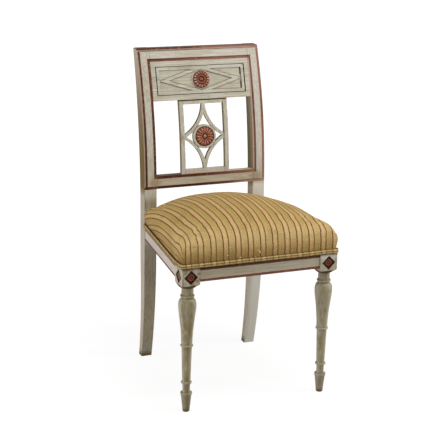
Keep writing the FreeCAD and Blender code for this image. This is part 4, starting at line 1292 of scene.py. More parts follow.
    def skin(self, grow: float, skirted: bool) -> Skin:
        """The closed form: upper surface, front and back panels, lap over the rails and underside.

        Args:
            grow: How far outside the stuffing the surface lies.
            skirted: Whether it laps down over the rails, or ends flat for stuffing it.

        Returns:
            The skin.
        """
        points, uv = self.surface(grow, skirted)
        front, back = self.end_panel(points[0]), self.end_panel(points[-1])
        skin = Skin()
        skin.grid(points, uv)
        for panel, end, way in ((front, 0, -1), (back, -1, 1)):
            drop = panel[:1, :, 2] - panel[..., 2]
            skin.grid(panel, np.stack([panel[..., 0], uv[end, 0, 1] + way * drop], -1))
        loop = np.concatenate([front[-1], points[1:, -1], back[-1, -2::-1], points[-2:0:-1, 0]])
        loop = loop[np.linalg.norm(np.roll(loop, -1, 0) - loop, axis=1) > 0.05]
        if not skirted:
            skin.cap(loop)
            return skin
        along = np.roll(loop, -1, 0) - np.roll(loop, 1, 0)
        out = np.stack([along[:, 1], -along[:, 0]], -1)
        out /= np.maximum(np.linalg.norm(out, axis=1, keepdims=True), 1e-9)
        inner = loop.copy()
        inner[:, :2] -= self.hem_fold * out
        floor = inner.copy()
        floor[:, 2] = self.pad_low
        skin.grid(np.stack([loop, inner, floor]), turns=True)
        skin.cap(floor)
        return skin

    def stuffed(self, cushion: bpy.types.Object) -> None:
        """Swells a slightly smaller body under air pressure and carries its shape over.

        The body is the same form without its skirt, remeshed and held along the rails. The cushion's
        points then move towards the swollen skin, at most swell_cap, with nothing moved at the rails.

        Args:
            cushion: The finished form, whose points are moved.
        """
        form = self.skin(self.cover - self.stuffing_inset, False)
        body = form.piece("stuffing_form", cushion.data.materials[0])
        remesh = body.modifiers.new("even", "REMESH")
        remesh.mode, remesh.voxel_size = "VOXEL", self.voxel * MM
        even = shaped(body)
        body.modifiers.clear()
        body.data = even
        held = body.vertex_groups.new(name="held")
        held.add(np.flatnonzero(vectors(even)[:, 2] < self.stuffing_low * MM).tolist(), 1.0, "REPLACE")
        cloth = body.modifiers.new("stuffing", "CLOTH")
        for name, value in (("quality", 6), ("mass", 0.3), ("tension_stiffness", 20),
                            ("compression_stiffness", 20), ("bending_stiffness", 2.0),
                            ("use_pressure", True), ("uniform_pressure_force", 4.0),
                            ("vertex_group_mass", "held")):
            setattr(cloth.settings, name, value)
        cloth.settings.effector_weights.gravity = 0.0
        cloth.collision_settings.use_collision = False
        cloth.point_cache.frame_start, cloth.point_cache.frame_end = 1, self.frames
        scene = bpy.context.scene
        for number in range(1, self.frames + 1):
            scene.frame_set(number)
        swollen = shaped(body)
        scene.frame_set(1)
        body.modifiers.clear()
        body.data = swollen
        wrap = cushion.modifiers.new("follow", "SHRINKWRAP")
        wrap.target, wrap.wrap_method = body, "NEAREST_SURFACEPOINT"
        after = vectors(shaped(cushion))
        cushion.modifiers.clear()
        before = vectors(cushion.data)
        move = after - before
        far = np.linalg.norm(move, axis=1, keepdims=True)
        move *= np.minimum(1, self.swell_cap * MM / np.maximum(far, 1e-9))
        weight = ramp(before[:, 2], self.stuffing_low * MM, self.swell_run * MM)
        weight *= np.clip(((self.depth - 8) * MM - (before[:, 1] + DEPTH_MIDDLE * MM)) / (20 * MM), 0, 1)
        move *= smooth(weight)[:, None]
        LOG.info("stuffing moved the cover by up to %.1f mm", np.linalg.norm(move, axis=1).max() / MM)
        move_to(cushion.data, before + move)
        bpy.data.objects.remove(body)

    def creases(self, cushion: bpy.types.Object) -> None:
        """Adds what the cover shows of its making.

        The cover ripples gently all over, draws in between the tacks above the welt, puckers in short
        rays where it is cut in round the uprights, and folds in down each front corner.

        Args:
            cushion: The form whose points are moved along their own normals.
        """
        place, normal = vectors(cushion.data), vectors(cushion.data, "normal")
        x, y, z = place[:, 0] / MM, place[:, 1] / MM + DEPTH_MIDDLE, place[:, 2] / MM
        move = self.ripple * waves(x, y, z, seed=4, count=7, finest=46.0)
        edge = np.where(y < 8, x, y + np.sign(x) * 300)
        tacks = 0.5 + 0.5 * np.cos(2 * math.pi * edge / self.tack_pitch + 0.4 * np.sin(edge / 31))
        move = move - self.tack_depth * bell(z - 434, 9.0) * tacks
        cut_x, cut_y, cut_z = self.upright_cut
        for side in (-1, 1):
            gap = np.sqrt((x - side * cut_x) ** 2 + (y - cut_y) ** 2 + (z - cut_z) ** 2)
            turn = np.arctan2(z - cut_z + 0.6 * (y - cut_y), side * cut_x - x)
            move = move + self.pucker * np.exp(-gap / 24.0) * np.sin(9.0 * turn + side)
            fold = bell(y - 8.5, 1.3) * (side * x > 222) * np.clip((492 - z) / 12, 0, 1)
            move = move - self.corner_fold * fold
        move *= ramp(z, 424, 8) * (y < self.rear)
        move_to(cushion.data, place + normal * (move * MM)[:, None])

    def make(self, cloth: bpy.types.Material) -> bpy.types.Object:
        """Builds the seat and stands it in for the stuffing and the cover.

        Args:
            cloth: The cover's finish.

        Returns:
            The piece.
        """
        cushion = self.skin(self.cover, True).piece("seat_cushion", cloth, 48.0)
        self.stuffed(cushion)
        self.creases(cushion)
        settle(cushion, "striped_fabric", "seat_pad", "seat_cover")
        return cushion


@dataclass
class Welt(ChairSizes):
    """Two cords side by side in one strip of the cover's cloth, along the seat's lower edge.

    In millimetres: a cord's radius, the height of the lower one, how far apart they are and stand
    off the cover, the turn at the front corners, how deep the stitches dent the cords, as a share,
    and how often, in radians a millimetre, and how far the whole wanders up and down.
    """

    cord: float = 3.25
    low: float = 420.4
    pitch: float = 6.2
    off: float = 5.05
    turn: float = 6.0
    dent: float = 0.03
    stitches: float = 2.1
    sway: float = 0.35

    def outline(self, around: int = 16) -> np.ndarray:
        """The section: the outer line of two circles that just overlap.

        Args:
            around: How many points lie on each circle.

        Returns:
            Points by two, out and up.
        """
        reach = math.acos(self.pitch / 2 / self.cord)
        lower = np.linspace(math.pi / 2 - reach, -1.5 * math.pi + reach, around)
        upper = lower - math.pi
        circles = [np.stack([self.cord * np.cos(a), self.cord * np.sin(a) + rise], -1)
                   for a, rise in ((lower, 0.0), (upper, self.pitch))]
        return np.concatenate([circles[0], circles[1]])

    def path(self) -> np.ndarray:
        """The line in plan, from the left upright round the front to the right one.

        Returns:
            Points by two, about two millimetres apart.
        """
        face = self.front_width / 2 - self.rebate + self.off
        front = self.rebate - self.off
        back = self.depth - self.clear
        slope = (self.front_width - self.back_width) / 2 / (self.depth - self.block)
        rear = np.array([face - slope * (back - self.block), back])
        knee = np.array([face, self.block])
        corner = np.array([face - self.turn, front + self.turn])
        angle = np.linspace(0, -math.pi / 2, 9)
        bend = corner + self.turn * np.stack([np.cos(angle), np.sin(angle)], -1)
        right = np.concatenate([[rear], [knee], bend])
        whole = np.concatenate([right * [-1, 1], right[::-1]])
        along = running(whole)
        even = np.linspace(0, along[-1], int(along[-1] / 2.0))
        return np.stack([np.interp(even, along, whole[:, axis]) for axis in (0, 1)], -1)

    def sweep(self, path: np.ndarray, seed: int) -> Skin:
        """Carries the section along a line in plan.

        The section's first coordinate goes out from the line, to its right, and its second goes
        up. The cords swell and shrink a little, and the whole wanders up and down by a hair.

        Args:
            path: Points in plan.
            seed: Fixes the unevenness.

        Returns:
            The closed tube.
        """
        outline = self.outline()
        along = running(path)
        way = np.gradient(path, axis=0)
        way /= np.linalg.norm(way, axis=1, keepdims=True)
        out = np.stack([way[:, 1], -way[:, 0]], -1)
        stitched = 0.5 + 0.5 * np.cos(along * self.stitches)
        full = 1 + self.dent * waves(along, seed=seed, finest=14.0) - self.dent * stitched
        rise = self.sway * waves(along, seed=seed + 1, finest=70.0)
        centre = np.array([0.0, self.pitch / 2])
        section = (outline - centre)[None] * full[:, None, None] + centre
        plan = path[:, None, :] + out[:, None, :] * section[..., :1]
        points = np.concatenate([plan, (self.low + rise)[:, None, None] + section[..., 1:]], -1)
        across = np.broadcast_to((along - along[-1] / 2)[:, None], points.shape[:2])
        girth = running(np.concatenate([outline, outline[:1]]))[:-1]
        # how far each point of the section faces out, which the finish uses for the painted highlight on
        # the cords and the painted shade between them
        mark = np.broadcast_to(np.clip(outline[:, 0] / self.cord, 0, 1), across.shape)
        skin = Skin()
        skin.grid(points, np.stack([across, np.broadcast_to(girth, across.shape)], -1), mark, True)
        skin.cap(points[0])
        skin.cap(points[-1])
        return skin

    def make(self, cloth: bpy.types.Material) -> None:
        """Builds the welt round the seat and the one along its back.

        Args:
            cloth: Their finish.
        """
        round_seat = self.sweep(self.path(), 21).piece("seat_welt", cloth, 60.0)
        settle(round_seat, "welt_fabric", "double_welt")
        half = self.inner_half - self.clear
        back = np.stack([np.linspace(half, -half, 150), np.full(150, self.rear + self.off)], -1)
        settle(self.sweep(back, 31).piece("seat_back_welt", cloth, 60.0), "welt_fabric", "back_welt")


@dataclass
class UnderSeat(ChairSizes):
    """The webbing that carries the seat, woven over and under, and the hessian over it."""

    level: float = 440.0
    thick: float = 1.4
    layer: float = 0.2
    width: float = 50.0
    gap: float = 20.0
    lengthwise: int = 4
    crosswise: int = 5
    first: float = 70.0
    last: float = 350.0
    front_end: float = 11.0
    back_end: float = 431.0
    side_inset: float = 11.0
    sheet_inset: float = 6.0
    sheet_low: float = 443.25
    sheet_thick: float = 0.8
    sheet_back: float = 436.0

    def strap(self, name: str, ends: tuple[float, float], middle: float, places: np.ndarray, over: bool,
              along_y: bool, material: bpy.types.Material) -> bpy.types.Object:
        """One strap, low on the rails and lifted over every other crossing.

        Its line is a sum of smooth steps up and down at the crossings, and its two long edges
        are a little uneven.

        Args:
            name: The strap's name and its node's.
            ends: Where it starts and ends along its run.
            middle: The place of its middle line.
            places: Where the other straps cross it.
            over: Whether it goes over the first of them.
            along_y: Whether it runs from front to back.
            material: Its finish.

        Returns:
            The piece.
        """
        run = np.linspace(ends[0], ends[1], 180)
        lift = np.zeros_like(run)
        for number, place in enumerate(places):
            if (number % 2 == 0) == over:
                lift += 1 - smooth((np.abs(run - place) - self.width / 2) / (self.gap / 2))
        line = self.level + (self.thick + self.layer) * lift
        side = np.linspace(-self.width / 2, self.width / 2, 15)
        run2, side2 = np.meshgrid(run, side, indexing="ij")
        fray = 1 + 0.004 * np.sin(run2 * 1.9) + 0.003 * np.sin(run2 * 0.7 + middle)
        high = np.broadcast_to(line[:, None], run2.shape)
        first, second = (middle + side2 * fray, run2) if along_y else (run2, middle + side2 * fray)
        low_face = np.stack([first, second, high], -1)
        top_face = low_face + np.array([0.0, 0.0, self.thick])
        uv = np.stack([side2, run2], -1)
        skin = Skin()
        skin.grid(np.concatenate([low_face, top_face[:, ::-1]], 1), np.concatenate([uv, uv[:, ::-1]], 1),
                  turns=True)
        for end in (0, -1):
            skin.grid(np.stack([low_face[end], top_face[end]]))
        return settle(skin.piece(name + "_strap", material, 50.0), "jute_webbing", name)

    def make(self, webbing: bpy.types.Material, hessian: bpy.types.Material) -> None:
        """Builds the straps and the hessian and stands them in for their solids.

        Args:
            webbing: The straps' finish.
            hessian: The sheet's finish.
        """
        pitch = self.width + self.gap
        middles = pitch * (np.arange(self.lengthwise) - (self.lengthwise - 1) / 2)
        crossings = np.linspace(self.first, self.last, self.crosswise)
        ends, length = (self.front_end, self.back_end), self.back_end - self.front_end
        for number, middle in enumerate(middles):
            strap = self.strap(f"webbing_lengthwise_{number + 1}", ends, middle, crossings,
                               number % 2 == 0, True, webbing)
        for number, place in enumerate(crossings):
            half = float(self.side(np.array([place + self.width / 2]))[0]) - self.side_inset
            strap = self.strap(f"webbing_crosswise_{number + 1}", (-half, half), place, middles,
                               number % 2 == 1, False, webbing)
        self.cloth(hessian)

    def cloth(self, material: bpy.types.Material) -> None:
        """The hessian: a thin closed sheet as wide as the seat, cut in round the uprights.

        Args:
            material: Its finish.
        """
        cut = self.depth - 0.4
        y = np.concatenate([np.linspace(self.sheet_inset, cut - 0.4, 90), [cut + 0.05],
                            np.linspace(cut + 0.6, self.sheet_back, 8)])
        half = np.where(y > cut, self.inner_half - 0.4, self.side(y) - self.sheet_inset)
        x2 = half[:, None] * np.linspace(-1, 1, 80)[None]
        y2 = np.broadcast_to(y[:, None], x2.shape)
        low = np.stack([x2, y2, self.sheet_low + 0 * x2], -1)
        high = low + np.array([0.0, 0.0, self.sheet_thick])
        uv = np.stack([x2, y2], -1)
        skin = Skin()
        skin.grid(low, uv)
        skin.grid(high, uv)
        for edge_low, edge_high in ((low[0], high[0]), (low[-1], high[-1]), (low[:, 0], high[:, 0]),
                                    (low[:, -1], high[:, -1])):
            skin.grid(np.stack([edge_low, edge_high]))
        sheet = settle(skin.piece("hessian_cloth", material, 50.0), "hessian", "hessian_sheet")


def four(stem: str, *levels: str) -> list[str]:
    """The names of four alike nodes: a stem, one of two levels and a side."""
    return [f"{stem}_{level}_{side}" for level in levels for side in ("left", "right")]


@dataclass
class PaintedFrame:
    """Gives the wooden solids their paint, with lines, dirt and painted shade placed by the chair's own
    sizes.

    In millimetres: the width of the back frame's sunk edges, the heights of the two lines on the
    seat rails and half the length of the front one, half the diamonds' recess, the inner faces and
    the ends of the splat's bars, and the relief of brushed and of smooth paint. Each groove of the
    legs has its height, its reach and its share of dirt and painted shade.
    """

    paint: WornPaint
    back: BackShape
    rabbet: float = 8.5
    rail_foot: float = 384.2
    rail_brow: float = 408.4
    rail_half: float = 176.4
    recess_half: float = 19.9
    bar_inside: float = 62.4
    bar_end: float = 13.4
    brushed: float = 0.09
    smoothed: float = 0.2
    grooves: tuple[Triple, ...] = (
        (328.5, 2.8, 1.3), (363.0, 4.4, 1.6), (338.2, 1.8, 0.7), (188.0, 2.4, 0.7), (195.8, 1.6, 0.5),
        (81.5, 2.2, 0.7), (89.4, 1.6, 0.5), (49.0, 3.0, 0.7), (57.0, 1.8, 0.4))

    def dress(self, material: bpy.types.Material, *names: str) -> None:
        """Puts a material on nodes, whose own meshes stay as they are.

        Args:
            material: The finish.
            names: The nodes' names.
        """
        for name in names:
            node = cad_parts[name]
            node.data.materials.clear()
            node.data.materials.append(material)
            LOG.info("%s: %s", name, material.name)

    def frame_lines(self, coat: Coat) -> None:
        """The two lines round the back frame, one along its outer and one along its inner edge.

        A point lies in the outer line by how far it is outside a rectangle one rabbet in from the
        frame's edge, and in the inner line by how far it is inside one a rabbet out from the opening.

        Args:
            coat: The coat of an upright or a rail, which gets its part of the lines.
        """
        back, paint, painter = self.back, self.paint, coat.painter
        x, _, z = painter.axes()
        side, forward, up = painter.facing()
        outer = (abs(x) - (back.outer_half - self.rabbet)).most(z - (back.top - self.rabbet)).most(
            back.bottom + self.rabbet - z)
        inner = (back.inner_half + self.rabbet - abs(x)).least(back.inner_top + self.rabbet - z).least(
            z - (back.inner_bottom - self.rabbet))
        lines = outer.most(inner)
        front = forward.rise(-0.5, -0.8) * z.rise(back.bottom - 1.2, back.bottom + 0.2)
        # the lines are darkest at the lower left, at the left of the top and high on the right upright
        dark = 0.62 - x / 420.0 - (z - 560.0) / 1300.0 + 0.5 * z.rise(912.0, 924.0) * x.rise(60.0, -60.0)
        dark = (dark + 0.5 * x.rise(100.0, 150.0) * z.near(750.0, 160.0)).rise(0.1, 1.0)
        coat.glaze((x * 0.3 + z).rise(640.0, 480.0) * front, paint.warm, 0.5)
        coat.glaze(x.rise(60.0, 190.0) * z.rise(560.0, 640.0) * front, paint.faded, 0.3)
        coat.pick_out(lines, front, dark)
        low_line = (back.inner_bottom + 0.5 - z).least(lines.rise(-0.6, 0.8)) * x.rise(150.0, -40.0)
        coat.glaze(low_line.most(0.0).least(1.0) * front, paint.line_dark, 0.75)
        coat.glaze(z.rise(541.0, 538.0) * x.rise(60.0, 130.0) * front, paint.pink, 0.45)
        # the top of the upper rail is painted like its line, and so is most of the lower rail's
        ledge = abs(z - back.inner_bottom).rise(3.0, 1.0) * (30.0 - x).rise(-60.0, 60.0)
        tops = up.rise(0.5, 0.8) * (z.rise(back.top - 3.0, back.top - 1.0).most(ledge))
        coat.glaze(tops, paint.line_dark, 0.85)
        coat.glaze(tops * z.rise(900.0, 920.0), paint.grime_and_shade, 0.55)
        # the outermost strip of the long lines is rubbed back to the pale paint, and the right one's edge
        upright = z.rise(back.bottom + 5.0, back.bottom + 9.0) * z.rise(back.top - 5.0, back.top - 8.0)
        rubbed = (abs(x) - (back.outer_half - 3.6)).rise(-0.6, 1.4) * upright
        low_edge = (back.top - 4.0 - z).rise(-1.0, 1.4) * (z - (back.top - 8.5)).rise(-0.4, 0.4)
        rubbed = (rubbed * (1.0 - 0.95 * z.near(740.0, 170.0) * x.rise(0.0, 10.0))).most(0.75 * low_edge)
        opening = z.rise(back.inner_bottom - 1.0, back.inner_bottom + 3.0)
        opening = opening * (back.inner_top - z).rise(-1.0, 3.0)
        thin = (back.inner_half + 4.6 - x).rise(-0.6, 1.6) * (x - back.inner_half).rise(-1.0, 0.0)
        thin = thin * opening
        coat.glaze(rubbed.most(thin) * front, paint.pink, 0.66 - 0.34 * x.rise(160.0, 180.0))
        # dirt at the joints, and dirt with painted shade in the corners along the steps of the sunk edges
        seam = abs(abs(x) - back.inner_half).rise(0.9, 0.2) * front
        coat.soil_and_shade(seam * outer.rise(0.0, -1.0) * inner.rise(0.0, -1.0), 0.6)
        coat.soil_and_shade(abs(outer - 0.6).rise(1.6, 0.1).most(abs(inner - 0.6).rise(1.6, 0.1)) * front, 0.7)
        # faces turned sideways: pale at first, a darker bare tone lower down, and painted shade on the
        # left ones
        sides, above_seat = abs(side).rise(0.6, 0.9), z.rise(500.0, 540.0)
        coat.glaze(sides * 0.5, paint.pink, 0.8)
        coat.glaze(sides * z.rise(920.0, 620.0) * above_seat, paint.bare, 0.55)
        coat.glaze(side.rise(-0.6, -0.9) * z.rise(1000.0, 580.0) * above_seat, paint.shaded, 0.9)
        dull = side.rise(-0.5, -0.85) * x.rise(0.0, 20.0) * z.rise(470.0, 520.0)
        coat.glaze(dull * z.rise(520.0, 600.0), paint.warm, 0.3)
        # stains where the long pieces meet the lower rail
        joint = (abs(abs(x) - 160.0) + abs(z - 549.0)).rise(36.0, 6.0) * front
        coat.glaze(joint, paint.bare, 0.62)

    def uprights(self) -> None:
        """The back uprights: lined above the seat, dirty at the foot and where the seat rubs."""
        paint, coat = self.paint, self.paint.coat("upright_paint", Grain.UP)
        x, _, z = coat.painter.axes()
        _, forward, _ = coat.painter.facing()
        ahead, right, far_right = forward.rise(-0.4, -0.8), x.rise(0.0, 10.0), x.rise(100.0, 110.0)
        self.frame_lines(coat)
        coat.soil_and_shade(z.rise(26.0, 0.0), 0.9)
        # the fronts of the two legs under the seat: painted shade on the left one; a brighter, warmer
        # tone on the right one, with a dark line at its inner edge
        below = ahead * z.rise(380.0, 340.0)
        coat.glaze(below * x.rise(40.0, -40.0), paint.shaded, 0.45)
        coat.glaze(below * far_right, paint.bright, 0.55)
        coat.glaze(below * far_right, paint.warm, 0.7)
        spots = coat.painter.noise((75.0, 75.0, 30.0), 47.0, 4.0)
        coat.glaze(below * spots.rise(0.5, 0.66), paint.bare, 0.3)
        coat.glaze(below * far_right, paint.olive, 0.45)
        coat.glaze(below * far_right * z.rise(190.0, 90.0), paint.shaded, 0.2)
        coat.glaze(below * (x - 158.5).rise(4.4, 2.0) * far_right, paint.shaded, 1.0)
        # brown where the cover rubs, and less of it on the right
        beside = z.near(486.0, 30.0)
        rubbing = beside * (0.3 + 0.7 * ahead) * (0.4 + coat.painter.cloud(40.0, 41.0, 3.0))
        coat.glaze(rubbing, paint.shaded, 0.62 - 0.45 * right)
        coat.soil_and_shade(beside * ahead * (-self.back.outer_half - x).rise(-6.0, 0.0), 0.8)
        coat.glaze(z.near(440.0, 90.0), paint.olive, 0.35 - 0.2 * right)
        coat.glaze(ahead * right * z.rise(532.0, 518.0), paint.bright, 0.75)
        self.dress(coat.finish(self.brushed), "back_upright_left", "back_upright_right")

    def rails_of_back(self) -> None:
        """The top rail and the rail under the splat."""
        for name, warmth in (("top_rail", 0.0), ("lower_back_rail", 0.7)):
            coat = self.paint.coat(name + "_paint", Grain.ACROSS, warmth)
            self.frame_lines(coat)
            self.dress(coat.finish(self.brushed), name)

    def tablet(self) -> None:
        """The tablet: dirt and painted shade in the groove round its field and beside the raised strips,
        and painted shade on the strips' left sides.
        """
        back, paint = self.back, self.paint
        coat = paint.coat("tablet_paint", Grain.ACROSS, 0.05)
        x, _, z = coat.painter.axes()
        _, forward, _ = coat.painter.facing()
        front = forward.rise(0.4, 0.0)
        tall = back.inner_top - back.tablet_bottom
        border, gap, wide = 0.1315 * tall, 0.0218 * tall, 0.0725 * tall
        up = abs(z - (back.tablet_bottom + tall / 2))
        field_in = (back.inner_half - border - abs(x)).least(tall / 2 - border - up)
        # dirt and painted shade in the groove round the field
        groove = field_in.rise(-0.7, 0.4) * field_in.rise(gap + 1.1, gap - 0.2) * front
        coat.soil_and_shade(groove * 0.5, 1.0)
        # dirt and painted shadow in the grooves at the field's two ends
        ends = abs(abs(x) - (back.inner_half - border - gap / 2)).rise(2.6, 1.3) * front
        coat.glaze(ends * (up - (tall / 2 - border)).rise(0.5, -0.5), paint.grime_and_shade, 0.95)
        # out is how far a point lies outside the lozenge that the slanting strips' middles make
        half_wide = back.inner_half - border - gap - wide
        half_high = tall / 2 - border - gap
        slant = math.hypot(half_wide, half_high)
        out = abs(x) * (half_high / slant) + up * (half_wide / slant) - half_wide * half_high / slant
        # dirt and painted shadow along both sides of the slanting strips and inside the frame strips
        beside = out.rise(2.6, 0.0).least(out.rise(-0.6, 0.0)).most(
            (out + wide).rise(-2.6, 0.0).least((out + wide).rise(0.6, 0.0)))
        in_field = field_in.rise(gap + wide - 0.4, gap + wide + 0.2) * front
        coat.soil_and_shade(beside * in_field, 0.9)
        coat.soil_and_shade((field_in - gap - wide).rise(2.4, 0.0) * in_field, 0.6)
        coat.glaze(in_field, paint.olive, 0.16)
        # painted shadow with dirt on the field just left of the right-hand strip
        short = (x - (half_wide - 4.0)).rise(-1.2, 0.4)
        coat.glaze(short * in_field * up.rise(6.0, 12.0), paint.grime_and_shade, 0.9)
        edge = (back.inner_half - abs(x)).least(z - back.tablet_bottom)
        coat.soil_and_shade(edge.rise(1.6, 0.1) * front, 0.5)
        self.dress(coat.finish(self.brushed), "tablet_panel")
        strips = paint.coat("strip_paint", Grain.ACROSS)
        side, _, _ = strips.painter.facing()
        # painted shade on the strips' faces that turn to the left
        strips.glaze(side.rise(-0.6, -0.9), paint.grime_and_shade, 0.9)
        self.dress(strips.finish(self.smoothed), *four("lozenge_strip", "lower", "upper"),
                   *(f"tablet_fillet_{place}" for place in ("bottom", "top", "left", "right")))
        self.dress(paint.coat("rosette_base_paint", Grain.ACROSS).finish(self.smoothed), "rosette_base")

    def splat(self) -> None:
        """The open splat: bars, bent bars and the ring of the medallion."""
        back, paint = self.back, self.paint
        bars = paint.coat("splat_bar_paint", Grain.UP, 0.1)
        x, _, z = bars.painter.axes()
        side, _, _ = bars.painter.facing()
        # painted shade on the bars' faces that turn to the left, and along their left edges
        bars.glaze(side.rise(-0.5, -0.85), paint.grime_and_shade, 0.62)
        bars.glaze((abs(x + 75.0).rise(2.4, 0.4)).most(abs(x - 63.0).rise(1.8, 0.2)), paint.shaded, 0.5)
        bars.glaze((abs(x + 72.0) + abs(z - 675.0)).rise(16.0, 3.0), paint.bare, 0.6)
        # painted shadow with dirt on the bars' tops just under the tablet
        bars.soil_and_shade((z - (back.tablet_bottom - 3.2)).rise(-1.4, 0.6), 1.6)
        bars.glaze((z - back.inner_bottom).rise(14.0, 0.0), paint.pink, 0.5)
        # dirt and painted shade in the corners of the opening, where the side bars meet the top and
        # bottom bars
        ends = (z - back.inner_bottom - self.bar_end).rise(0.4, 0.0).most(
            (back.tablet_bottom - self.bar_end - z).rise(0.4, 0.0))
        bars.soil_and_shade(abs(abs(x) - self.bar_inside).rise(0.8, 0.2) * ends, 0.7)
        self.dress(bars.finish(self.smoothed),
                   *(f"splat_bar_{place}" for place in ("left", "right", "top", "bottom")))
        bent = paint.coat("bent_bar_paint", Grain.UP, 0.1)
        x, _, z = bent.painter.axes()
        side, forward, _ = bent.painter.facing()
        # painted shade on the faces that turn left and down
        bent.glaze(side.rise(-0.3, -0.7) * forward.rise(-0.7, -0.3), paint.grime_and_shade, 0.9)
        middle = (back.tablet_bottom + back.inner_bottom) / 2
        reach = (abs(x) * abs(x) + (z - middle) * (z - middle)) / 1000.0
        # dirt and painted shade where the bent bars meet the ring and the straight bars
        bent.soil_and_shade(reach.rise(1.62, 1.3).most(abs(x).rise(58.0, 63.0)), 0.45)
        self.dress(bent.finish(self.smoothed), *four("splat_curve", "lower", "upper"))
        ring = paint.coat("medallion_paint", Grain.UP, 0.05)
        x, _, z = ring.painter.axes()
        _, forward, _ = ring.painter.facing()
        reach = (abs(x) * abs(x) + (z - middle) * (z - middle) * 1.03) / 1000.0
        # dirt and painted shade inside the ring, round the rosette
        ring.soil_and_shade(reach.rise(0.95, 0.79) * forward.rise(0.6, 0.3), 1.2)
        self.dress(ring.finish(self.smoothed), "medallion")

    def seat_rails(self) -> None:
        """The seat rails: a red-brown line along the foot, a dark one under the welt, and dirt with
        painted shadow just under the welt.
        """
        paint = self.paint
        for grain, on_side, names in (
                (Grain.ACROSS, False, ("front_seat_rail",)),
                (Grain.BACK, True, ("side_seat_rail_left", "side_seat_rail_right"))):
            coat = paint.coat("side_rail_paint" if on_side else "front_rail_paint", grain, 0.08)
            x, y, z = coat.painter.axes()
            sideways, forward, _ = coat.painter.facing()
            if on_side:
                facing = outside = (sideways * x / 180.0).rise(0.5, 0.8)
                coat.glaze(facing, paint.faded, 0.6)
            else:
                facing, outside = forward.rise(-0.5, -0.8), y.rise(12.0, 8.0)
                coat.glaze(facing, paint.olive, 0.45)
                coat.glaze(facing, paint.shaded, 0.22 - 0.14 * x.rise(-200.0, 200.0))
                coat.soil_and_shade((abs(x) - self.rail_half).rise(-0.4, 1.0), 1.0)
            brow = z - self.rail_brow
            coat.pick_out(self.rail_foot - z, facing * outside, 0.65 if on_side else 0.3)
            coat.pick_out(brow, facing * outside, 0.85 - 0.5 * x.rise(-120.0, 120.0))
            # dirt and painted shadow just under the welt
            coat.soil_and_shade(brow.rise(-2.0, 1.0) * outside, 0.5)
            self.dress(coat.finish(self.brushed), *names)
        self.dress(paint.coat("back_rail_paint", Grain.ACROSS, 0.3).finish(0.22), "back_seat_rail")

    def legs(self) -> None:
        """The front legs: dirt and painted shade in every groove of the turning, painted shade down the
        fronts, painted highlights on the turnings' left sides and the blocks' outer corners, and
        painted shadow in the blocks' recesses.
        """
        back, paint = self.back, self.paint
        coat = paint.coat("leg_paint", Grain.UP, 0.12)
        painter = coat.painter
        x, y, z = painter.axes()
        sideways, forward, _ = painter.facing()
        # dirt and painted shade in the grooves of the turning
        for height, reach, share in self.grooves:
            coat.soil_and_shade(z.near(height, reach), share)
        # the turned part: painted shade in a streak down the front, less of it on the right leg, with
        # mottling
        turned = z.rise(366.0, 358.0)
        front_shade = (0.3 * sideways + 0.95 * forward).rise(-0.55, -0.98)
        uneven = painter.noise((60.0, 60.0, 14.0), 31.0, 2.0)
        less_shade_here = z.near(250.0, 40.0).most(z.rise(120.0, 90.0))
        shade_kept = 1.0 - 0.45 * x.rise(-20.0, 20.0) * (0.5 + 0.5 * less_shade_here)
        front_shade = front_shade * (z.rise(336.0, 322.0) * 0.75 + 0.25 * turned) * (0.5 + uneven) * shade_kept
        coat.glaze(front_shade, paint.shaded, 0.95)
        coat.glaze(turned, paint.olive, 0.5)
        coat.glaze(uneven.rise(0.48, 0.66) * turned * shade_kept, paint.shaded, 0.45)
        coat.glaze(z.rise(326.0, 340.0) * turned * shade_kept, paint.shaded, 0.35)
        mottle = painter.noise((85.0, 85.0, 45.0), 53.0, 4.0)
        # a mottled painted highlight on the turnings' left sides, and mottled darker patches lower down
        coat.glaze(turned * mottle.rise(0.52, 0.34) * sideways.rise(0.2, -0.6), paint.bright, 0.2)
        coat.glaze(turned * mottle.rise(0.5, 0.68) * z.rise(350.0, 320.0), paint.shaded, 0.34)
        # the fronts of the blocks: blotched, darker towards their edges and on the left one, lighter high
        # on the right one, with a painted highlight down the outer corners
        flat = (1.0 - turned) * forward.rise(-0.5, -0.9)
        blotch = painter.cloud(95.0, 37.0, 4.0)
        left = x.rise(150.0, -150.0) * 0.75 + 0.25
        across, up = abs(abs(x) - back.leg_across), abs(z - back.diamond_height)
        coat.glaze(flat, paint.olive, 0.5)
        coat.glaze(flat * x.rise(0.0, 10.0) * z.rise(396.0, 408.0), paint.bright, 0.5)
        coat.glaze(flat * blotch.rise(0.46, 0.62) * left, paint.shaded, 0.62)
        rubbed = (across.most(up) - 18.0).rise(0.0, 7.0)
        coat.glaze(flat * rubbed * blotch.rise(0.38, 0.54) * left, paint.shaded, 0.6)
        # painted shade in the undercut under the blocks
        coat.glaze(z.rise(369.0, 367.0) * z.rise(356.0, 358.5), paint.grime_and_shade, 1.0)
        arris = abs(abs(x) - back.front_width / 2).rise(1.6, 0.2) * y.rise(3.0, 0.5) * (1.0 - turned)
        coat.glaze(arris, paint.bright, 0.8)
        coat.soil_and_shade(z.rise(16.0, 0.0), 0.9)
        coat.soil_and_shade(z.rise(58.0, 40.0), 0.3)
        # the recesses of the diamonds in painted shadow, and dirt with painted shade about them
        front = self.recess_half - across - up
        outer = self.recess_half - abs(y - back.block / 2) - up
        hollow = (front.rise(-0.2, 0.3) * y.rise(4.2, 3.6)).most(
            outer.rise(-0.2, 0.3) * abs(x).rise(225.4, 226.2))
        coat.glaze(hollow, paint.line_dark, 0.95)
        coat.soil_and_shade((front.rise(-3.0, 0.0) * forward.rise(-0.5, -0.9)).most(
            outer.rise(-3.0, 0.0) * abs(sideways).rise(0.5, 0.9)), 0.35)
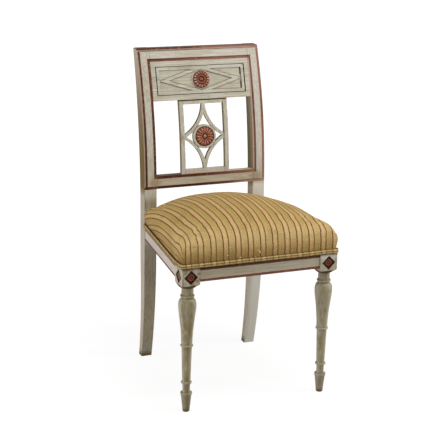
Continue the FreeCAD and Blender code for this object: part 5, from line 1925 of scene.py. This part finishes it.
        # dirt and painted shadow on the blocks just under the welt
        coat.soil_and_shade((z - 411.0).rise(0.0, 4.0) * z.rise(418.0, 416.0), 0.6)
        coat.glaze(turned, paint.shaded, 0.12)
        coat.rough = coat.rough - 0.3 * turned
        self.dress(coat.finish(self.brushed, 0.2), "front_leg_left", "front_leg_right")

    def inside(self) -> None:
        """The bare blocks, screws and tacks under the seat."""
        self.dress(SawnBeech().material("sawn_beech"), *four("corner_block", "front", "back"))
        self.dress(OldSteel().material("screw_steel", 0.35), "corner_block_screws")
        self.dress(OldSteel().material("tack_steel", 0.8), "webbing_tacks")

    def make(self) -> None:
        """Dresses every wooden and metal node that stays."""
        for paint_part in (self.uprights, self.rails_of_back, self.tablet, self.splat, self.seat_rails,
                           self.legs, self.inside):
            paint_part()


@dataclass
class Studio:
    """A pale floor, a white surround, soft lamps and the camera. In metres."""

    eye: Triple = (-1.3902, -3.26205, 1.4530)
    across: Triple = (0.924660, -0.380390, 0.017950)
    up: Triple = (0.085130, 0.252420, 0.963880)
    lens: float = 107.06
    aim: Triple = (0.0, 0.0, 0.5)
    floor_half: float = 30.0
    floor_drop: float = 0.0003
    floor_pale: Colour = colour("#DEDDDB")
    floor_dull: Colour = colour("#D9D8D6")
    floor_glow: float = 1.09
    white: Colour = (1.0, 1.0, 1.0, 1.0)
    even: Colour = (0.96, 0.98, 1.0, 1.0)
    even_strength: float = 0.3

    def camera(self) -> None:
        """The camera at the photograph's place and turn."""
        lens = bpy.data.cameras.new("camera")
        lens.lens, lens.sensor_width = self.lens, 36.0
        lens.clip_start, lens.clip_end = 0.1, 60.0
        right = Vector(self.across).normalized()
        back = right.cross(Vector(self.up)).normalized()
        turn = Matrix((right, back.cross(right), back)).transposed()
        eye = put("camera", lens)
        eye.matrix_world = Matrix.Translation(Vector(self.eye)) @ turn.to_4x4()
        bpy.context.scene.camera = eye

    def lamp(self, name: str, place: Triple, size: float, power: float) -> None:
        """A square soft lamp that points at the middle of the chair.

        Args:
            name: Its name.
            place: Where it hangs.
            size: The length of its side.
            power: In watts.
        """
        light = bpy.data.lights.new(name, "AREA")
        light.size, light.energy = size, power
        lamp = put(name, light)
        lamp.location = place
        lamp.rotation_euler = (Vector(self.aim) - Vector(place)).to_track_quat("-Z", "Y").to_euler()

    def floor(self) -> None:
        """A wide pale floor that keeps a faint shadow and otherwise looks as white as the surround."""
        painter = Painter("floor")
        cloud = painter.cloud(3.0, 0.0, 2.0)
        x, y, _ = painter.axes()
        far = (x * x + y * y).rise(500.0 ** 2, 1500.0 ** 2)
        white = painter.node("ShaderNodeEmission", inputs={
            "Color": self.white, "Strength": self.floor_glow})
        painter.surface = painter.node("ShaderNodeMixShader", inputs={
            0: painter.shown() * (0.83 + 0.17 * far), 1: painter.surface, 2: white})
        painter.set(Base_Color=painter.mix(cloud * 0.5, self.floor_pale, self.floor_dull), Roughness=0.9)
        skin = Skin()
        side = np.linspace(-self.floor_half, self.floor_half, 3) / MM
        x, y = np.meshgrid(side, side, indexing="ij")
        skin.grid(np.stack([x, y, 0 * x - self.floor_drop / MM], -1))
        floor = skin.piece("floor", painter.material)
        floor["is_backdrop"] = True

    def surround(self) -> None:
        """A world that gives even light and looks white."""
        world = bpy.data.worlds.new("surround")
        world.use_nodes = True
        nodes = Nodes(world.node_tree)
        even, white = (nodes.node("ShaderNodeBackground", inputs={"Color": tint, "Strength": strength})
                       for tint, strength in ((self.even, self.even_strength), (self.white, 1.0)))
        both = nodes.node("ShaderNodeMixShader", inputs={0: nodes.shown(), 1: even, 2: white})
        nodes.node("ShaderNodeOutputWorld", inputs={"Surface": both})
        bpy.context.scene.world = world

    def make(self) -> None:
        """Sets up the room."""
        self.camera()
        self.floor()
        self.surround()
        self.lamp("right_lamp", (2.6, -1.3, 1.5), 1.0, 46.0)
        self.lamp("left_lamp", (-2.7, -0.4, 0.8), 0.9, 31.0)
        self.lamp("top_lamp", (0.3, -0.9, 2.9), 1.2, 36.0)
        bpy.context.scene.view_settings.view_transform = "Standard"


def corners() -> list[list[float]]:
    """The lowest and highest corner of all that is shown, as plain lists."""
    return [[round(float(part), 6) for part in corner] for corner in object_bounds()]


def main() -> None:
    """Builds the chair's pieces in order."""
    logging.basicConfig(level=logging.INFO, format="%(name)s %(message)s")
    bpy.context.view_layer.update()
    Studio().make()
    back = BackShape()
    PaintedFrame(WornPaint(), back).make()
    carving = Carving(ground=colour("#92523A"), gloss=0.3)
    tablet_middle = (back.tablet_bottom + back.inner_top) / 2
    splat_middle = (back.tablet_bottom + back.inner_bottom) / 2
    Rosette("tablet_rosette_carving", "tablet_rosette", radius=26.0, rise=6.5, height=tablet_middle,
            sink=4.0, proud=2.55, collar=0.42, eye=0.7).make(
        back, carving.material("tablet_rosette_paint", 0.1))
    Rosette("medallion_rosette_carving", "medallion_rosette", radius=28.0, rise=6.0, height=splat_middle,
            sink=0.0, proud=-3.0, eye=1.15).make(back, carving.material("medallion_rosette_paint"))
    deep = Carving(ground=colour("#763A23")).material("diamond_paint")
    dull = Carving(ground=colour("#8A6238"), rubbed=colour("#A98A5C")).material("diamond_side_paint")
    for side in (-1, 1):
        Diamond(hand=side, on_front=True).make(deep)
        Diamond(hand=side, on_front=False).make(dull)
    Seat().make(StripedCloth().material("striped_cloth"))
    cord = StripedCloth(tan=colour("#C4A46C"), olive=colour("#9E8750"), line_width=4.2, cord_highlight=0.5,
                        worn=False)
    Welt().make(cord.material("welt_cloth"))
    backing = Backing()
    UnderSeat().make(backing.material("webbing", 1.6, True), backing.material("hessian", 1.1, False))


if __name__ == "__main__":
    main()
